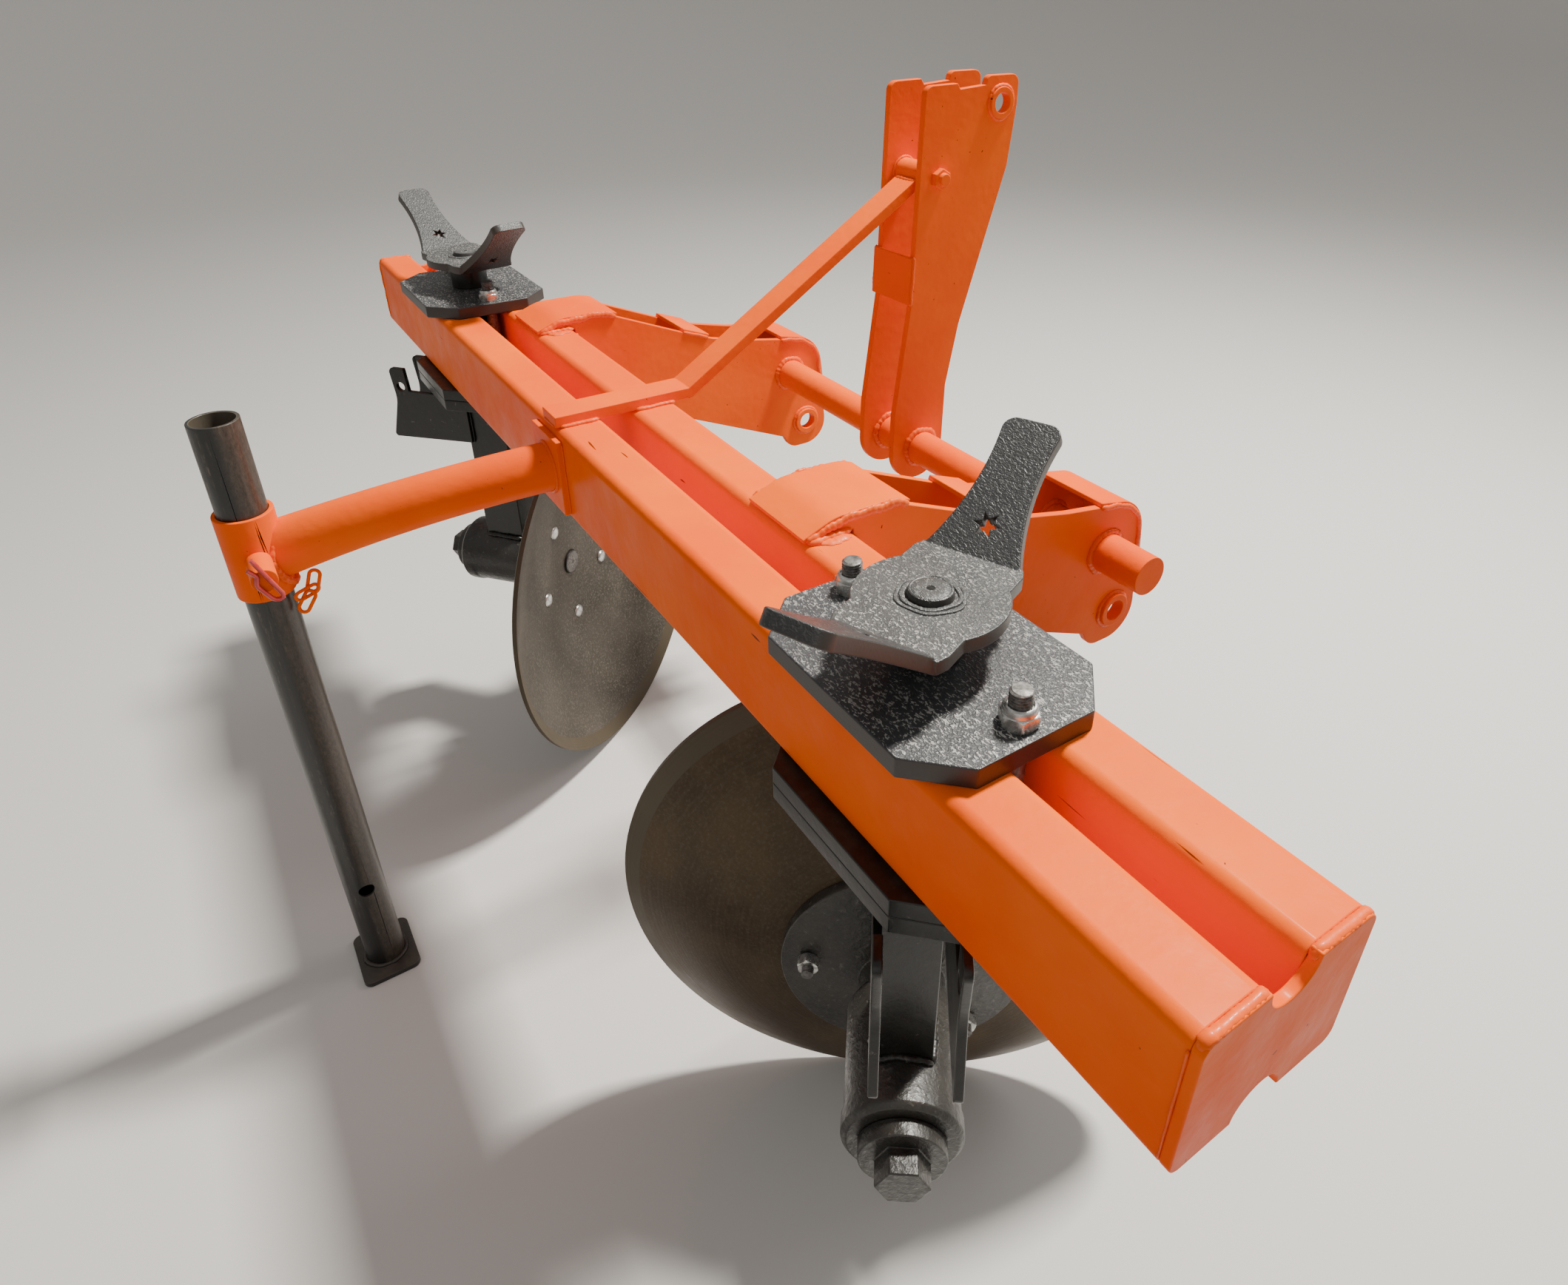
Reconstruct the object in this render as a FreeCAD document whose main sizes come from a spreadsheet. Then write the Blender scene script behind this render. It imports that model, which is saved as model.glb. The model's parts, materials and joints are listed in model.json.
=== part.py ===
import FreeCAD, Part
import math
import os
import re
import Sketcher

# Bund maker: a toolbar of two tubes on a three-point hitch, with two dished discs that turn
# freely on angled standards and a parking stand behind. X runs along the toolbar to its right
# end, Y points forward to the tractor, Z is up, and the origin is on the ground in the middle.

doc = FreeCAD.newDocument("bund_maker")
sheet = doc.addObject("Spreadsheet::Sheet", "sizes")

SIZES = (
    # alias, millimetres or degrees, what it is
    ("fit_gap", 0.15, "gap round a welded-in or bolted-in round piece"),
    ("seat_gap", 0.3, "gap between pieces that move on each other"),
    # toolbar
    ("bar_length", 1880, "toolbar over its end plates"),
    ("bar_under", 717, "height of the toolbar's underside above the ground"),
    ("tube_tall", 120, "height of one toolbar tube"),
    ("tube_wide", 60, "width of one toolbar tube"),
    ("tube_wall", 5, "wall of a toolbar tube"),
    ("tube_round", 11, "outer corner of a toolbar tube"),
    ("tube_gap", 37, "gap between the two tubes"),
    ("end_thick", 8, "end plate"),
    ("end_notch", 22, "radius of the bites in the end plate between the tubes"),
    # hitch arms
    ("hitch_side", -20, "sideways place of the middle between the hitch arms"),
    ("arm_spread", 740, "distance between the middles of the two hitch arms"),
    ("arm_inside", 84, "clear width between the two plates of one arm"),
    ("arm_thick", 10, "arm plate"),
    ("arm_toe", 22, "how far the arm's rear toe lies in front of the toolbar's middle"),
    ("arm_chin", 8, "lower end of the arm on the front tube, above the toolbar's underside"),
    ("arm_hump", 14, "height of the arm's hump above the tubes"),
    ("hump_back", 58, "rear end of the hump in front of the toolbar's middle"),
    ("hump_front", 130, "front end of the hump in front of the toolbar's middle"),
    ("hump_bend", 60, "radius of the hump's rear corner"),
    ("brow_bend", 70, "radius of the hump's front corner"),
    ("neck_share", 0.3229, "lower end of the steep slope, as a share of the way from hump to nose"),
    ("neck_drop", 37, "depth of that point below the top of the tubes"),
    ("knee_share", 0.4688, "where the arm's upper edge turns flatter, as a share of that way"),
    ("knee_drop", 58, "depth of that point below the top of the tubes"),
    ("arch_share", 0.664, "where the arm's upper edge is flattest, as a share of that way"),
    ("arch_drop", 75, "depth of that point below the top of the tubes"),
    ("cap_share", 0.8073, "rear end of the nose strap, as a share of that way"),
    ("cap_drop", 84, "depth of that point below the top of the tubes"),
    ("nose_reach", 514, "corner of the arm's nose in front of the toolbar's middle"),
    ("nose_drop", 100, "depth of that corner below the top of the tubes"),
    ("nose_bend", 52, "radius of that corner"),
    ("nose_skirt", 84, "how far the nose strap reaches down the arm's front"),
    ("lug_front", 42, "front edge of the arm's lug in front of the lower link pin"),
    ("lug_back", 34, "rear edge of the lug behind the lower link pin"),
    ("lug_low", 48, "lower edge of the lug below the lower link pin"),
    ("lug_bend", 42, "radius of the lug's front corner"),
    ("heel_bend", 26, "radius of the lug's rear corner"),
    ("heel_run", 12, "how far the lug's rear edge leans back"),
    ("heel_rise", 24, "height of the lug's rear edge"),
    ("tie_back", 0.036, "rear edge of the middle strap, as a share of the way from neck to knee"),
    ("tie_front", 0.857, "front edge of the middle strap, as a share of the way from neck to knee"),
    ("rear_lap", 16, "how far the rear strap reaches down the hump's front slope"),
    ("strap_thick", 6, "bent straps that join the two plates of an arm"),
    ("shaft_inset", 55, "cross shaft behind the corner of the arm's nose"),
    ("shaft_drop", 30, "cross shaft below the toolbar's underside"),
    ("shaft_round", 25, "radius of the cross shaft"),
    ("shaft_stub", 71, "how far the cross shaft stands out of each arm"),
    ("link_inset", 24, "lower link pin behind the corner of the arm's nose"),
    ("link_drop", 126, "lower link pin below the toolbar's underside"),
    ("link_bore", 14.35, "radius of the lower link pin bore"),
    ("link_bush", 23, "outer radius of the lower link bush"),
    ("link_proud", 7, "how far the lower link bush stands out of its plate"),
    # mast
    ("mast_side", -9, "sideways place of the mast's middle"),
    ("mast_inside", 65, "clear width between the mast plates"),
    ("mast_thick", 10, "mast plate"),
    ("mast_lift", 477, "top of the mast above the toolbar's underside"),
    ("mast_nose", 30, "foremost edge of the mast in front of the top link pin"),
    ("top_reach", 567, "top link pin in front of the toolbar's middle"),
    ("top_lift", 443, "top link pin above the toolbar's underside"),
    ("top_bore", 12.75, "radius of the top link pin bore"),
    ("top_bush", 20, "outer radius of the top link bush"),
    ("top_proud", 5, "how far the top link bush stands out of its plate"),
    ("stay_inset", 31, "bolt that holds the brace, in front of the mast's rear edge"),
    ("stay_lift", 356, "bolt that holds the brace, above the toolbar's underside"),
    ("stay_bolt", 8, "radius of that bolt"),
    ("stay_tube", 17, "outer radius of the spacer tube on that bolt"),
    ("stay_head", 13.9, "corner radius of that bolt's head and nut"),
    ("stay_high", 10, "height of that bolt's head and nut"),
    ("cross_low", 192, "lower edge of the cross strap behind the mast"),
    ("cross_high", 256, "upper edge of the cross strap behind the mast"),
    ("cross_thick", 6, "cross strap behind the mast"),
    ("mast_heel", 52, "lower rear corner of the mast behind the cross shaft"),
    ("mast_shin", 50, "rear edge of the mast, 30 above the toolbar's underside, behind the cross shaft"),
    ("mast_waist", 28, "rear edge of the mast, 190 above the toolbar's underside, behind the cross shaft"),
    ("brace_side", -12.5, "sideways place of the brace's middle"),
    ("brace_wide", 43, "brace from the toolbar to the mast"),
    ("brace_thick", 14, "brace from the toolbar to the mast"),
    ("brace_bend", 100, "bend of the brace in front of the toolbar's middle"),
    # parking stand
    ("stand_side", -118, "sideways place of the stand pipe"),
    ("stand_back", 415, "stand pipe behind the toolbar's middle"),
    ("stand_round", 27, "outer radius of the stand pipe"),
    ("stand_wall", 4, "wall of the stand pipe"),
    ("stand_over", 166, "top of the stand pipe above the toolbar's underside"),
    ("stand_hole", 10.5, "radius of the cross holes in the stand pipe"),
    ("spare_drop", 554, "spare cross hole below the toolbar's underside"),
    ("foot_long", 100, "foot plate of the stand, across"),
    ("foot_deep", 80, "foot plate of the stand, front to back"),
    ("foot_thick", 8, "foot plate of the stand"),
    ("foot_round", 12, "corners of the foot plate"),
    ("collar_round", 32.5, "outer radius of the collar that guides the stand pipe"),
    ("collar_top", 53, "top of the collar above the toolbar's underside"),
    ("collar_drop", 54, "bottom of the collar below the toolbar's underside"),
    ("boom_round", 30.15, "outer radius of the pipe that carries the collar"),
    ("boom_wall", 4, "wall of that pipe"),
    ("boom_side", -18, "sideways place where that pipe leaves the toolbar"),
    ("boom_lift", 62, "height there above the toolbar's underside"),
    ("boom_fall", 76, "how much lower that pipe ends at the collar"),
    ("boom_sag", 11, "turn of that pipe in its downward bend, in degrees"),
    ("pad_wide", 84, "pad plate behind the rear tube"),
    ("pad_tall", 98, "pad plate behind the rear tube"),
    ("pad_thick", 8, "pad plate behind the rear tube"),
    ("pin_round", 10, "radius of the stand's cross pin"),
    ("pin_drop", 1, "cross pin below the toolbar's underside"),
    ("pin_out", 24, "how far the cross pin's thin end stands out of the collar"),
    ("knob_round", 14, "radius of the cross pin's thick end"),
    ("knob_out", 47, "how far the cross pin's thick end stands out of the collar"),
    # clamps
    ("right_gap", 89, "clear toolbar between the right clamp and the right hitch arm"),
    ("left_gap", 35, "clear toolbar between the left clamp and the left hitch arm"),
    ("clamp_long", 246, "clamp plate along the toolbar"),
    ("clamp_deep", 188, "clamp plate across the toolbar"),
    ("clamp_corner", 39.5, "cut corners of the clamp plates"),
    ("clamp_thick", 18, "clamp plate"),
    ("clamp_slack", 0.5, "gap between the stem and its holes in the clamp plates"),
    ("bolt_side", 102, "clamp bolts either side of the stem"),
    ("bolt_round", 9, "radius of the clamp bolts"),
    ("bolt_head", 15.6, "corner radius of the clamp bolts' heads and nuts"),
    ("bolt_nut", 17, "height of the lock nuts"),
    ("bolt_cap", 12, "height of the bolt heads"),
    ("bolt_rise", 12, "thread above the lock nuts"),
    # stem, handle and standard
    ("right_turn", 53, "angle of the right disc's axle from straight ahead, in degrees"),
    ("left_turn", 50, "angle of the left disc's axle from straight ahead, in degrees"),
    ("stem_round", 17.5, "radius of the turned stem"),
    ("stem_proud", 5.7, "how far the stem stands out of the handle"),
    ("neck_round", 28.5, "radius of the neck between the clamp and the handle"),
    ("neck_tall", 38, "height of that neck"),
    ("grip_thick", 12, "handle plate"),
    ("grip_round", 61, "radius of the handle's middle"),
    ("grip_shoulder", 48, "half the width of the handle's flat part beside the middle"),
    ("grip_square", 60, "length of that width from the stem"),
    ("grip_root", 44, "half the width of the handle at the bends"),
    ("grip_waist", 25.8, "half the width of a wing's waist"),
    ("grip_tip", 26, "half the width of a wing's tip"),
    ("grip_bend", 71, "distance of the wings' bends from the stem"),
    ("grip_wing", 137, "length of a wing"),
    ("grip_corner", 12, "radius of a wing's corners"),
    ("star_place", 34, "distance of the star from the bend"),
    ("star_round", 11, "outer radius of the star cut in a wing"),
    ("star_inner", 5, "inner radius of that star"),
    ("grip_lift", 36.4, "angle of the wings, in degrees"),
    ("grip_turn", -30.5, "angle of the handle from the axle, in degrees"),
    ("post_wide", 56, "standard across the axle"),
    ("post_deep", 75, "standard along the axle"),
    ("post_wall", 8, "wall of the standard"),
    ("crown_round", 44, "radius of the round head on the standard"),
    ("crown_thick", 14, "thickness of the round head on the standard"),
    ("ear_thick", 8, "ears behind the standard"),
    ("ear_clear", 5, "gap between the clamp bolts' heads and the ears below them"),
    ("ear_reach", 190, "rearmost corner of the ears behind the stem"),
    ("ear_low", 144, "lower edge of the ears below the toolbar's underside"),
    ("ear_notch", 140, "start of the raised lobe of the ears behind the stem"),
    ("ear_back", 174, "rear edge of that lobe behind the stem"),
    ("ear_top", 12, "top of that lobe below the toolbar's underside"),
    ("ear_waist", 70, "waist of the ears' rear edge below the toolbar's underside"),
    ("ear_hole", 8, "radius of the hole in each ear"),
    ("hole_back", 155, "that hole behind the stem"),
    ("hole_drop", 46, "that hole below the toolbar's underside"),
    # hub and disc
    ("axle_drop", 380, "disc axle below the toolbar's underside"),
    ("hub_round", 58, "radius of the hub housing"),
    ("hub_back", 86, "rear end of the hub housing behind the stem"),
    ("hub_front", 62, "front end of the hub housing in front of the stem"),
    ("rim_place", 205, "plane of the disc's rim in front of the stem"),
    ("disc_round", 337, "radius of the disc"),
    ("disc_dish", 100, "depth of the disc's dish"),
    ("disc_thick", 7, "disc"),
    ("flange_round", 136, "radius of the hub flange behind the disc"),
    ("flange_thick", 14, "hub flange"),
    ("flange_dip", 15, "how far the flange's edge is swept forward"),
    ("axle_round", 22, "radius of the axle"),
    ("nose_round", 43, "radius of the washer behind the hub"),
    ("nose_thick", 17, "washer behind the hub"),
    ("nut_round", 27, "corner radius of the axle nut"),
    ("nut_tall", 24, "axle nut"),
)
for row, (alias, size, meaning) in enumerate(SIZES, 1):
    sheet.set("A%d" % row, meaning)
    sheet.set("B%d" % row, str(size))
    sheet.setAlias("B%d" % row, alias)
doc.recompute()
ALIASES = {alias for alias, size, meaning in SIZES}

# Places that follow from other sizes, in front of the toolbar's middle.
DERIVED = {
    "shaft_reach": "(nose_reach - shaft_inset)",
    "link_reach": "(nose_reach - link_inset)",
    "mast_front": "(top_reach + mast_nose)",
    "mast_lean": "((mast_front - 156 - shaft_reach + mast_waist) / (mast_lift - 8 - 190))",
    "mast_back": "(shaft_reach - mast_waist - 190 * mast_lean)",
    "stay_reach": "(mast_back + stay_lift * mast_lean + stay_inset)",
}


def linked(formula):
    """A formula in aliases, with each alias pointing at its cell."""
    def point(match):
        word = match.group(0)
        if word in DERIVED:
            return linked(DERIVED[word])
        return "sizes." + word if word in ALIASES else word
    return re.sub(r"[a-z_]+", point, str(formula))


def value(formula):
    """The number that a formula gives now."""
    return float(sheet.evalExpression(linked(formula)))


def bind(thing, prop, formula):
    thing.setExpression(prop, linked(formula))


# Places that several pieces share, as formulas in the aliases.
HALF_DEPTH = "(tube_wide + tube_gap / 2)"
HALF_FOOT = "foot_deep / 2"
SHIFT = "((stand_back + %s - mast_front) / 2)" % HALF_FOOT
UNDER = "bar_under"
AXLE_HIGH = "(bar_under - axle_drop)"
STEM_TOP = "(tube_tall + clamp_thick + seat_gap)"
GRIP_FLOOR = "(%s + neck_tall)" % STEM_TOP
STACK_FLOOR = "(2 * clamp_thick)"
POST_TOP = "(%s + seat_gap + crown_thick)" % STACK_FLOOR
DISH_BACK = "(rim_place - disc_dish)"
BALL = "((disc_round ^ 2 + disc_dish ^ 2) / (2 * disc_dish))"

nodes = []


def keep(thing, label, place=("0", "0", "0"), turn=None, axis=(0, 0, 1)):
    """Name a finished sub-part and put it in its place."""
    thing.Label = label
    if turn is not None:
        start = FreeCAD.Rotation(FreeCAD.Vector(*axis), 10)
        thing.Placement = FreeCAD.Placement(FreeCAD.Vector(), start)
        bind(thing, "Placement.Rotation.Angle", turn)
    for letter, formula in zip("xyz", place):
        bind(thing, "Placement.Base." + letter, formula)
    nodes.append(thing)
    return thing


def origin_plane(body, role):
    for feature in body.Origin.OriginFeatures:
        if feature.Role == role:
            return feature
    raise ValueError(role)


def new_sketch(body, name, role):
    sketch = body.newObject("Sketcher::SketchObject", name)
    sketch.AttachmentSupport = [(origin_plane(body, role), "")]
    sketch.MapMode = "FlatFace"
    return sketch


def add_polygon(sketch, corners):
    """A closed outline whose corners are tied to the sheet."""
    points = [FreeCAD.Vector(value(u), value(v), 0) for u, v in corners]
    count = len(points)
    first = sketch.GeometryCount
    for i in range(count):
        sketch.addGeometry(Part.LineSegment(points[i], points[(i + 1) % count]), False)
    for i in range(count):
        after = first + (i + 1) % count
        sketch.addConstraint(Sketcher.Constraint("Coincident", first + i, 2, after, 1))
    for i, (u, v) in enumerate(corners):
        for kind, formula, size in (("DistanceX", u, points[i].x), ("DistanceY", v, points[i].y)):
            rule = sketch.addConstraint(
                Sketcher.Constraint(kind, -1, 1, first + i, 1, size))
            bind(sketch, "Constraints[%d]" % rule, formula)


def add_circle(sketch, u, v, radius):
    """A circle whose centre and radius are tied to the sheet."""
    centre = FreeCAD.Vector(value(u), value(v), 0)
    circle = sketch.addGeometry(
        Part.Circle(centre, FreeCAD.Vector(0, 0, 1), value(radius)), False)
    for kind, formula, size in (("DistanceX", u, centre.x), ("DistanceY", v, centre.y)):
        rule = sketch.addConstraint(Sketcher.Constraint(kind, -1, 1, circle, 3, size))
        bind(sketch, "Constraints[%d]" % rule, formula)
    rule = sketch.addConstraint(Sketcher.Constraint("Radius", circle, value(radius)))
    bind(sketch, "Constraints[%d]" % rule, radius)


SPREAD = {"XY_Plane": "xy", "YZ_Plane": "yz"}


def rounded(body, feature, role, rounds):
    """Fillets on the corners that lie across the sketch, one feature for each radius."""
    first, second = SPREAD[role]
    for radius in dict.fromkeys(r for u, v, r in rounds):
        doc.recompute()
        wanted = [(value(u), value(v)) for u, v, r in rounds if r == radius]
        names = []
        for number, edge in enumerate(feature.Shape.Edges, 1):
            ends = [vertex.Point for vertex in edge.Vertexes]
            if len(ends) != 2:
                continue
            flat = [(getattr(p, first), getattr(p, second)) for p in ends]
            if math.dist(flat[0], flat[1]) > 0.01:
                continue
            if any(math.dist(flat[0], spot) < 0.05 for spot in wanted):
                names.append("Edge%d" % number)
        fillet = body.newObject("PartDesign::Fillet", feature.Name + "_round")
        fillet.Base = (feature, names)
        bind(fillet, "Radius", radius)
        feature = fillet
    return feature


def plate(name, role, corners, thick, holes=(), rounds=()):
    """A flat plate: an outline padded to its thickness, with holes and rounded corners."""
    body = doc.addObject("PartDesign::Body", name)
    sketch = new_sketch(body, name + "_outline", role)
    add_polygon(sketch, corners)
    for u, v, radius in holes:
        add_circle(sketch, u, v, radius)
    pad = body.newObject("PartDesign::Pad", name + "_pad")
    pad.Profile = sketch
    bind(pad, "Length", thick)
    body.Tip = rounded(body, pad, role, rounds)
    return body


def turned(name, profile):
    """A piece turned about the Y axis: corners are (along the axis, radius)."""
    body = doc.addObject("PartDesign::Body", name)
    sketch = new_sketch(body, name + "_profile", "YZ_Plane")
    add_polygon(sketch, profile)
    spin = body.newObject("PartDesign::Revolution", name + "_turn")
    spin.Profile = sketch
    spin.ReferenceAxis = (sketch, ["H_Axis"])
    spin.Angle = 360
    body.Tip = spin
    return body


AXES = {"x": ((0, 1, 0), 90), "y": ((1, 0, 0), -90), "z": ((0, 0, 1), 0)}


def rod(name, axis, radius, length, start=("0", "0", "0")):
    """A round bar from its start point along an axis."""
    thing = doc.addObject("Part::Cylinder", name)
    direction, angle = AXES[axis]
    turn = FreeCAD.Rotation(FreeCAD.Vector(*direction), angle)
    thing.Placement = FreeCAD.Placement(FreeCAD.Vector(), turn)
    bind(thing, "Radius", radius)
    bind(thing, "Height", length)
    for letter, formula in zip("xyz", start):
        bind(thing, "Placement.Base." + letter, formula)
    return thing


def hexagon(name, axis, radius, length, start=("0", "0", "0")):
    """A nut or bolt head from its start point along an axis."""
    thing = doc.addObject("Part::Prism", name)
    thing.Polygon = 6
    direction, angle = AXES[axis]
    turn = FreeCAD.Rotation(FreeCAD.Vector(*direction), angle)
    thing.Placement = FreeCAD.Placement(FreeCAD.Vector(), turn)
    bind(thing, "Circumradius", radius)
    bind(thing, "Height", length)
    for letter, formula in zip("xyz", start):
        bind(thing, "Placement.Base." + letter, formula)
    return thing


def block(name, size, start):
    """A box with one corner at its start point."""
    thing = doc.addObject("Part::Box", name)
    for prop, formula in zip(("Length", "Width", "Height"), size):
        bind(thing, prop, formula)
    for letter, formula in zip("xyz", start):
        bind(thing, "Placement.Base." + letter, formula)
    return thing


def cut(name, base, tool):
    thing = doc.addObject("Part::Cut", name)
    thing.Base = base
    thing.Tool = tool
    return thing


def fuse(name, pieces):
    thing = doc.addObject("Part::MultiFuse", name)
    thing.Shapes = pieces
    thing.Refine = True
    return thing


def common(name, pieces):
    thing = doc.addObject("Part::MultiCommon", name)
    thing.Shapes = pieces
    return thing


# Toolbar: two rectangular tubes with rounded corners, side by side.
def toolbar_tube(label, low_edge):
    body = doc.addObject("PartDesign::Body", label)
    outline = new_sketch(body, label + "_outline", "YZ_Plane")
    high_edge = "%s + tube_wide" % low_edge
    corners = ((low_edge, "0"), (high_edge, "0"), (high_edge, "tube_tall"), (low_edge, "tube_tall"))
    add_polygon(outline, corners)
    pad = body.newObject("PartDesign::Pad", label + "_pad")
    pad.Profile = outline
    bind(pad, "Length", "bar_length - 2 * end_thick")
    rounds = [(u, v, "tube_round") for u, v in corners]
    solid = rounded(body, pad, "YZ_Plane", rounds)
    doc.recompute()
    full = solid.Shape.Volume
    bore = new_sketch(body, label + "_bore", "YZ_Plane")
    near_side = "%s + tube_wall" % low_edge
    far_side = "%s + tube_wide - tube_wall" % low_edge
    add_polygon(bore, ((near_side, "tube_wall"), (far_side, "tube_wall"),
                       (far_side, "tube_tall - tube_wall"), (near_side, "tube_tall - tube_wall")))
    pocket = body.newObject("PartDesign::Pocket", label + "_pocket")
    pocket.Profile = bore
    pocket.Type = "ThroughAll"
    pocket.Reversed = True
    body.Tip = pocket
    doc.recompute()
    if pocket.Shape.Volume > 0.6 * full:
        raise ValueError("the tube has no hollow")
    return keep(body, label, ("end_thick - bar_length / 2", SHIFT, UNDER))


toolbar_tube("front_tube", "tube_gap / 2")
toolbar_tube("rear_tube", "-tube_gap / 2 - tube_wide")


# End plates: one plate over both tube ends, bitten away between the tubes.
def end_plate(label, start):
    edge = HALF_DEPTH
    corners = (("-" + edge, "0"), (edge, "0"), (edge, "tube_tall"), ("-" + edge, "tube_tall"))
    rounds = [(u, v, "tube_round") for u, v in corners]
    body = plate(label, "YZ_Plane", corners, "end_thick", rounds=rounds)
    doc.recompute()
    bites = new_sketch(body, label + "_bites", "YZ_Plane")
    for level in ("0", "tube_tall"):
        add_circle(bites, "0", level, "end_notch")
    pocket = body.newObject("PartDesign::Pocket", label + "_pocket")
    pocket.Profile = bites
    pocket.Type = "ThroughAll"
    pocket.Reversed = True
    body.Tip = pocket
    return keep(body, label, (start, SHIFT, UNDER))


end_plate("end_plate_right", "bar_length / 2 - end_thick")
end_plate("end_plate_left", "-bar_length / 2")


# Hitch arms: two flame-cut plates each, set over the front tube, joined by bent straps and
# carrying the cross shaft and the lower link bushes.
TOE = ("arm_toe", "tube_tall")
HUMP_BACK = ("hump_back", "tube_tall + arm_hump")
HUMP_FRONT = ("hump_front", "tube_tall + arm_hump")
NECK = ("hump_front + neck_share * (nose_reach - hump_front)", "tube_tall - neck_drop")
KNEE = ("hump_front + knee_share * (nose_reach - hump_front)", "tube_tall - knee_drop")
ARCH = ("hump_front + arch_share * (nose_reach - hump_front)", "tube_tall - arch_drop")
CAP = ("hump_front + cap_share * (nose_reach - hump_front)", "tube_tall - cap_drop")
NOSE = ("nose_reach", "tube_tall - nose_drop")
LUG_TOP = ("link_reach + lug_front", "-link_drop")
LUG_TOE = ("link_reach + lug_front", "-link_drop - lug_low")
LUG_HEEL = ("link_reach - lug_back", "-link_drop - lug_low")
ARM_OUTLINE = (
    (HALF_DEPTH, "arm_chin"),
    ("link_reach - lug_back - heel_run", "-link_drop - lug_low + heel_rise"),
    LUG_HEEL, LUG_TOE, LUG_TOP, NOSE, CAP,
    ARCH, KNEE, NECK, HUMP_FRONT, HUMP_BACK, TOE,
    (HALF_DEPTH, "tube_tall"),
)
ARM_ROUNDS = (
    (*LUG_HEEL, "heel_bend"),
    (*LUG_TOE, "lug_bend"),
    (*NOSE, "nose_bend"),
    (*HUMP_FRONT, "brow_bend"),
    (*HUMP_BACK, "hump_bend"),
)
SHAFT_HOLE = ("shaft_reach", "-shaft_drop", "shaft_round + fit_gap")
LINK_HOLE = ("link_reach", "-link_drop", "link_bore")


def arm_plate(label, start, ring_start):
    base = plate(label + "_plate", "YZ_Plane", ARM_OUTLINE, "arm_thick",
                 holes=(SHAFT_HOLE, LINK_HOLE), rounds=ARM_ROUNDS)
    at = (ring_start, "link_reach", "-link_drop")
    ring = cut(label + "_ring", rod(label + "_ring_body", "x", "link_bush", "link_proud", at),
               rod(label + "_ring_bore", "x", "link_bore", "link_proud", at))
    return keep(fuse(label, [base, ring]), label, (start, SHIFT, UNDER))


def heading(start, end):
    """The direction from one point of an outline to the next, as two formulas."""
    run = "((%s) - (%s))" % (end[0], start[0])
    rise = "((%s) - (%s))" % (end[1], start[1])
    length = "sqrt(%s ^ 2 + %s ^ 2)" % (run, rise)
    return "(%s / %s)" % (run, length), "(%s / %s)" % (rise, length)


def along(start, end, run):
    """The point on the line from start to end that lies a run further along the first axis."""
    rise = "((%s) - (%s)) / ((%s) - (%s))" % (end[1], start[1], end[0], start[0])
    return "%s + %s" % (start[0], run), "%s + (%s) * %s" % (start[1], run, rise)


def strap(label, start, line, bends=()):
    """A strap that lies on the plates' edges along a line, with its bends rounded."""
    ahead = [heading(line[i], line[i + 1]) for i in range(len(line) - 1)]
    raised = []
    for i, (u, v) in enumerate(line):
        first, second = ahead[max(i - 1, 0)], ahead[min(i, len(ahead) - 1)]
        share = "strap_thick / (1 + %s * %s + %s * %s)" % (first[0], second[0], first[1], second[1])
        raised.append(("%s - (%s + %s) * %s" % (u, first[1], second[1], share),
                       "%s + (%s + %s) * %s" % (v, first[0], second[0], share)))
    rounds = [(*line[i], radius) for i, radius in bends]
    rounds += [(*raised[i], radius + " + strap_thick") for i, radius in bends]
    body = plate(label, "YZ_Plane", line + tuple(reversed(raised)), "arm_inside + 2 * arm_thick",
                 rounds=rounds)
    return keep(body, label, (start, SHIFT, UNDER))


REAR_LINE = (TOE, HUMP_BACK, HUMP_FRONT, along(HUMP_FRONT, NECK, "rear_lap"))
NECK_RUN = "(knee_share - neck_share) * (nose_reach - hump_front)"
TIE_LINE = (along(NECK, KNEE, "tie_back * " + NECK_RUN), along(NECK, KNEE, "tie_front * " + NECK_RUN))
SKIRT_RUN = "nose_skirt * (link_reach + lug_front - nose_reach) / (tube_tall - nose_drop + link_drop)"
NOSE_LINE = (CAP, NOSE, along(NOSE, LUG_TOP, SKIRT_RUN))
for side, sign in (("right", "1"), ("left", "-1")):
    middle = "hitch_side + %s * arm_spread / 2" % sign
    low_plate = middle + " - arm_inside / 2 - arm_thick"
    high_plate = middle + " + arm_inside / 2"
    outer, inner = (high_plate, low_plate) if sign == "1" else (low_plate, high_plate)
    outer_ring, inner_ring = ("arm_thick", "-link_proud") if sign == "1" else ("-link_proud", "arm_thick")
    arm_plate(side + "_arm_outer_plate", outer, outer_ring)
    arm_plate(side + "_arm_inner_plate", inner, inner_ring)
    strap(side + "_arm_rear_cap", low_plate, REAR_LINE, ((1, "hump_bend"), (2, "brow_bend")))
    strap(side + "_arm_tie", low_plate, TIE_LINE)
    strap(side + "_arm_nose_cap", low_plate, NOSE_LINE, ((1, "nose_bend"),))

shaft_long = "arm_spread + arm_inside + 2 * arm_thick + 2 * shaft_stub"
shaft = rod("cross_shaft", "x", "shaft_round", shaft_long)
keep(shaft, "cross_shaft", ("hitch_side - (%s) / 2" % shaft_long,
                            SHIFT + " + shaft_reach", UNDER + " - shaft_drop"))

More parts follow.
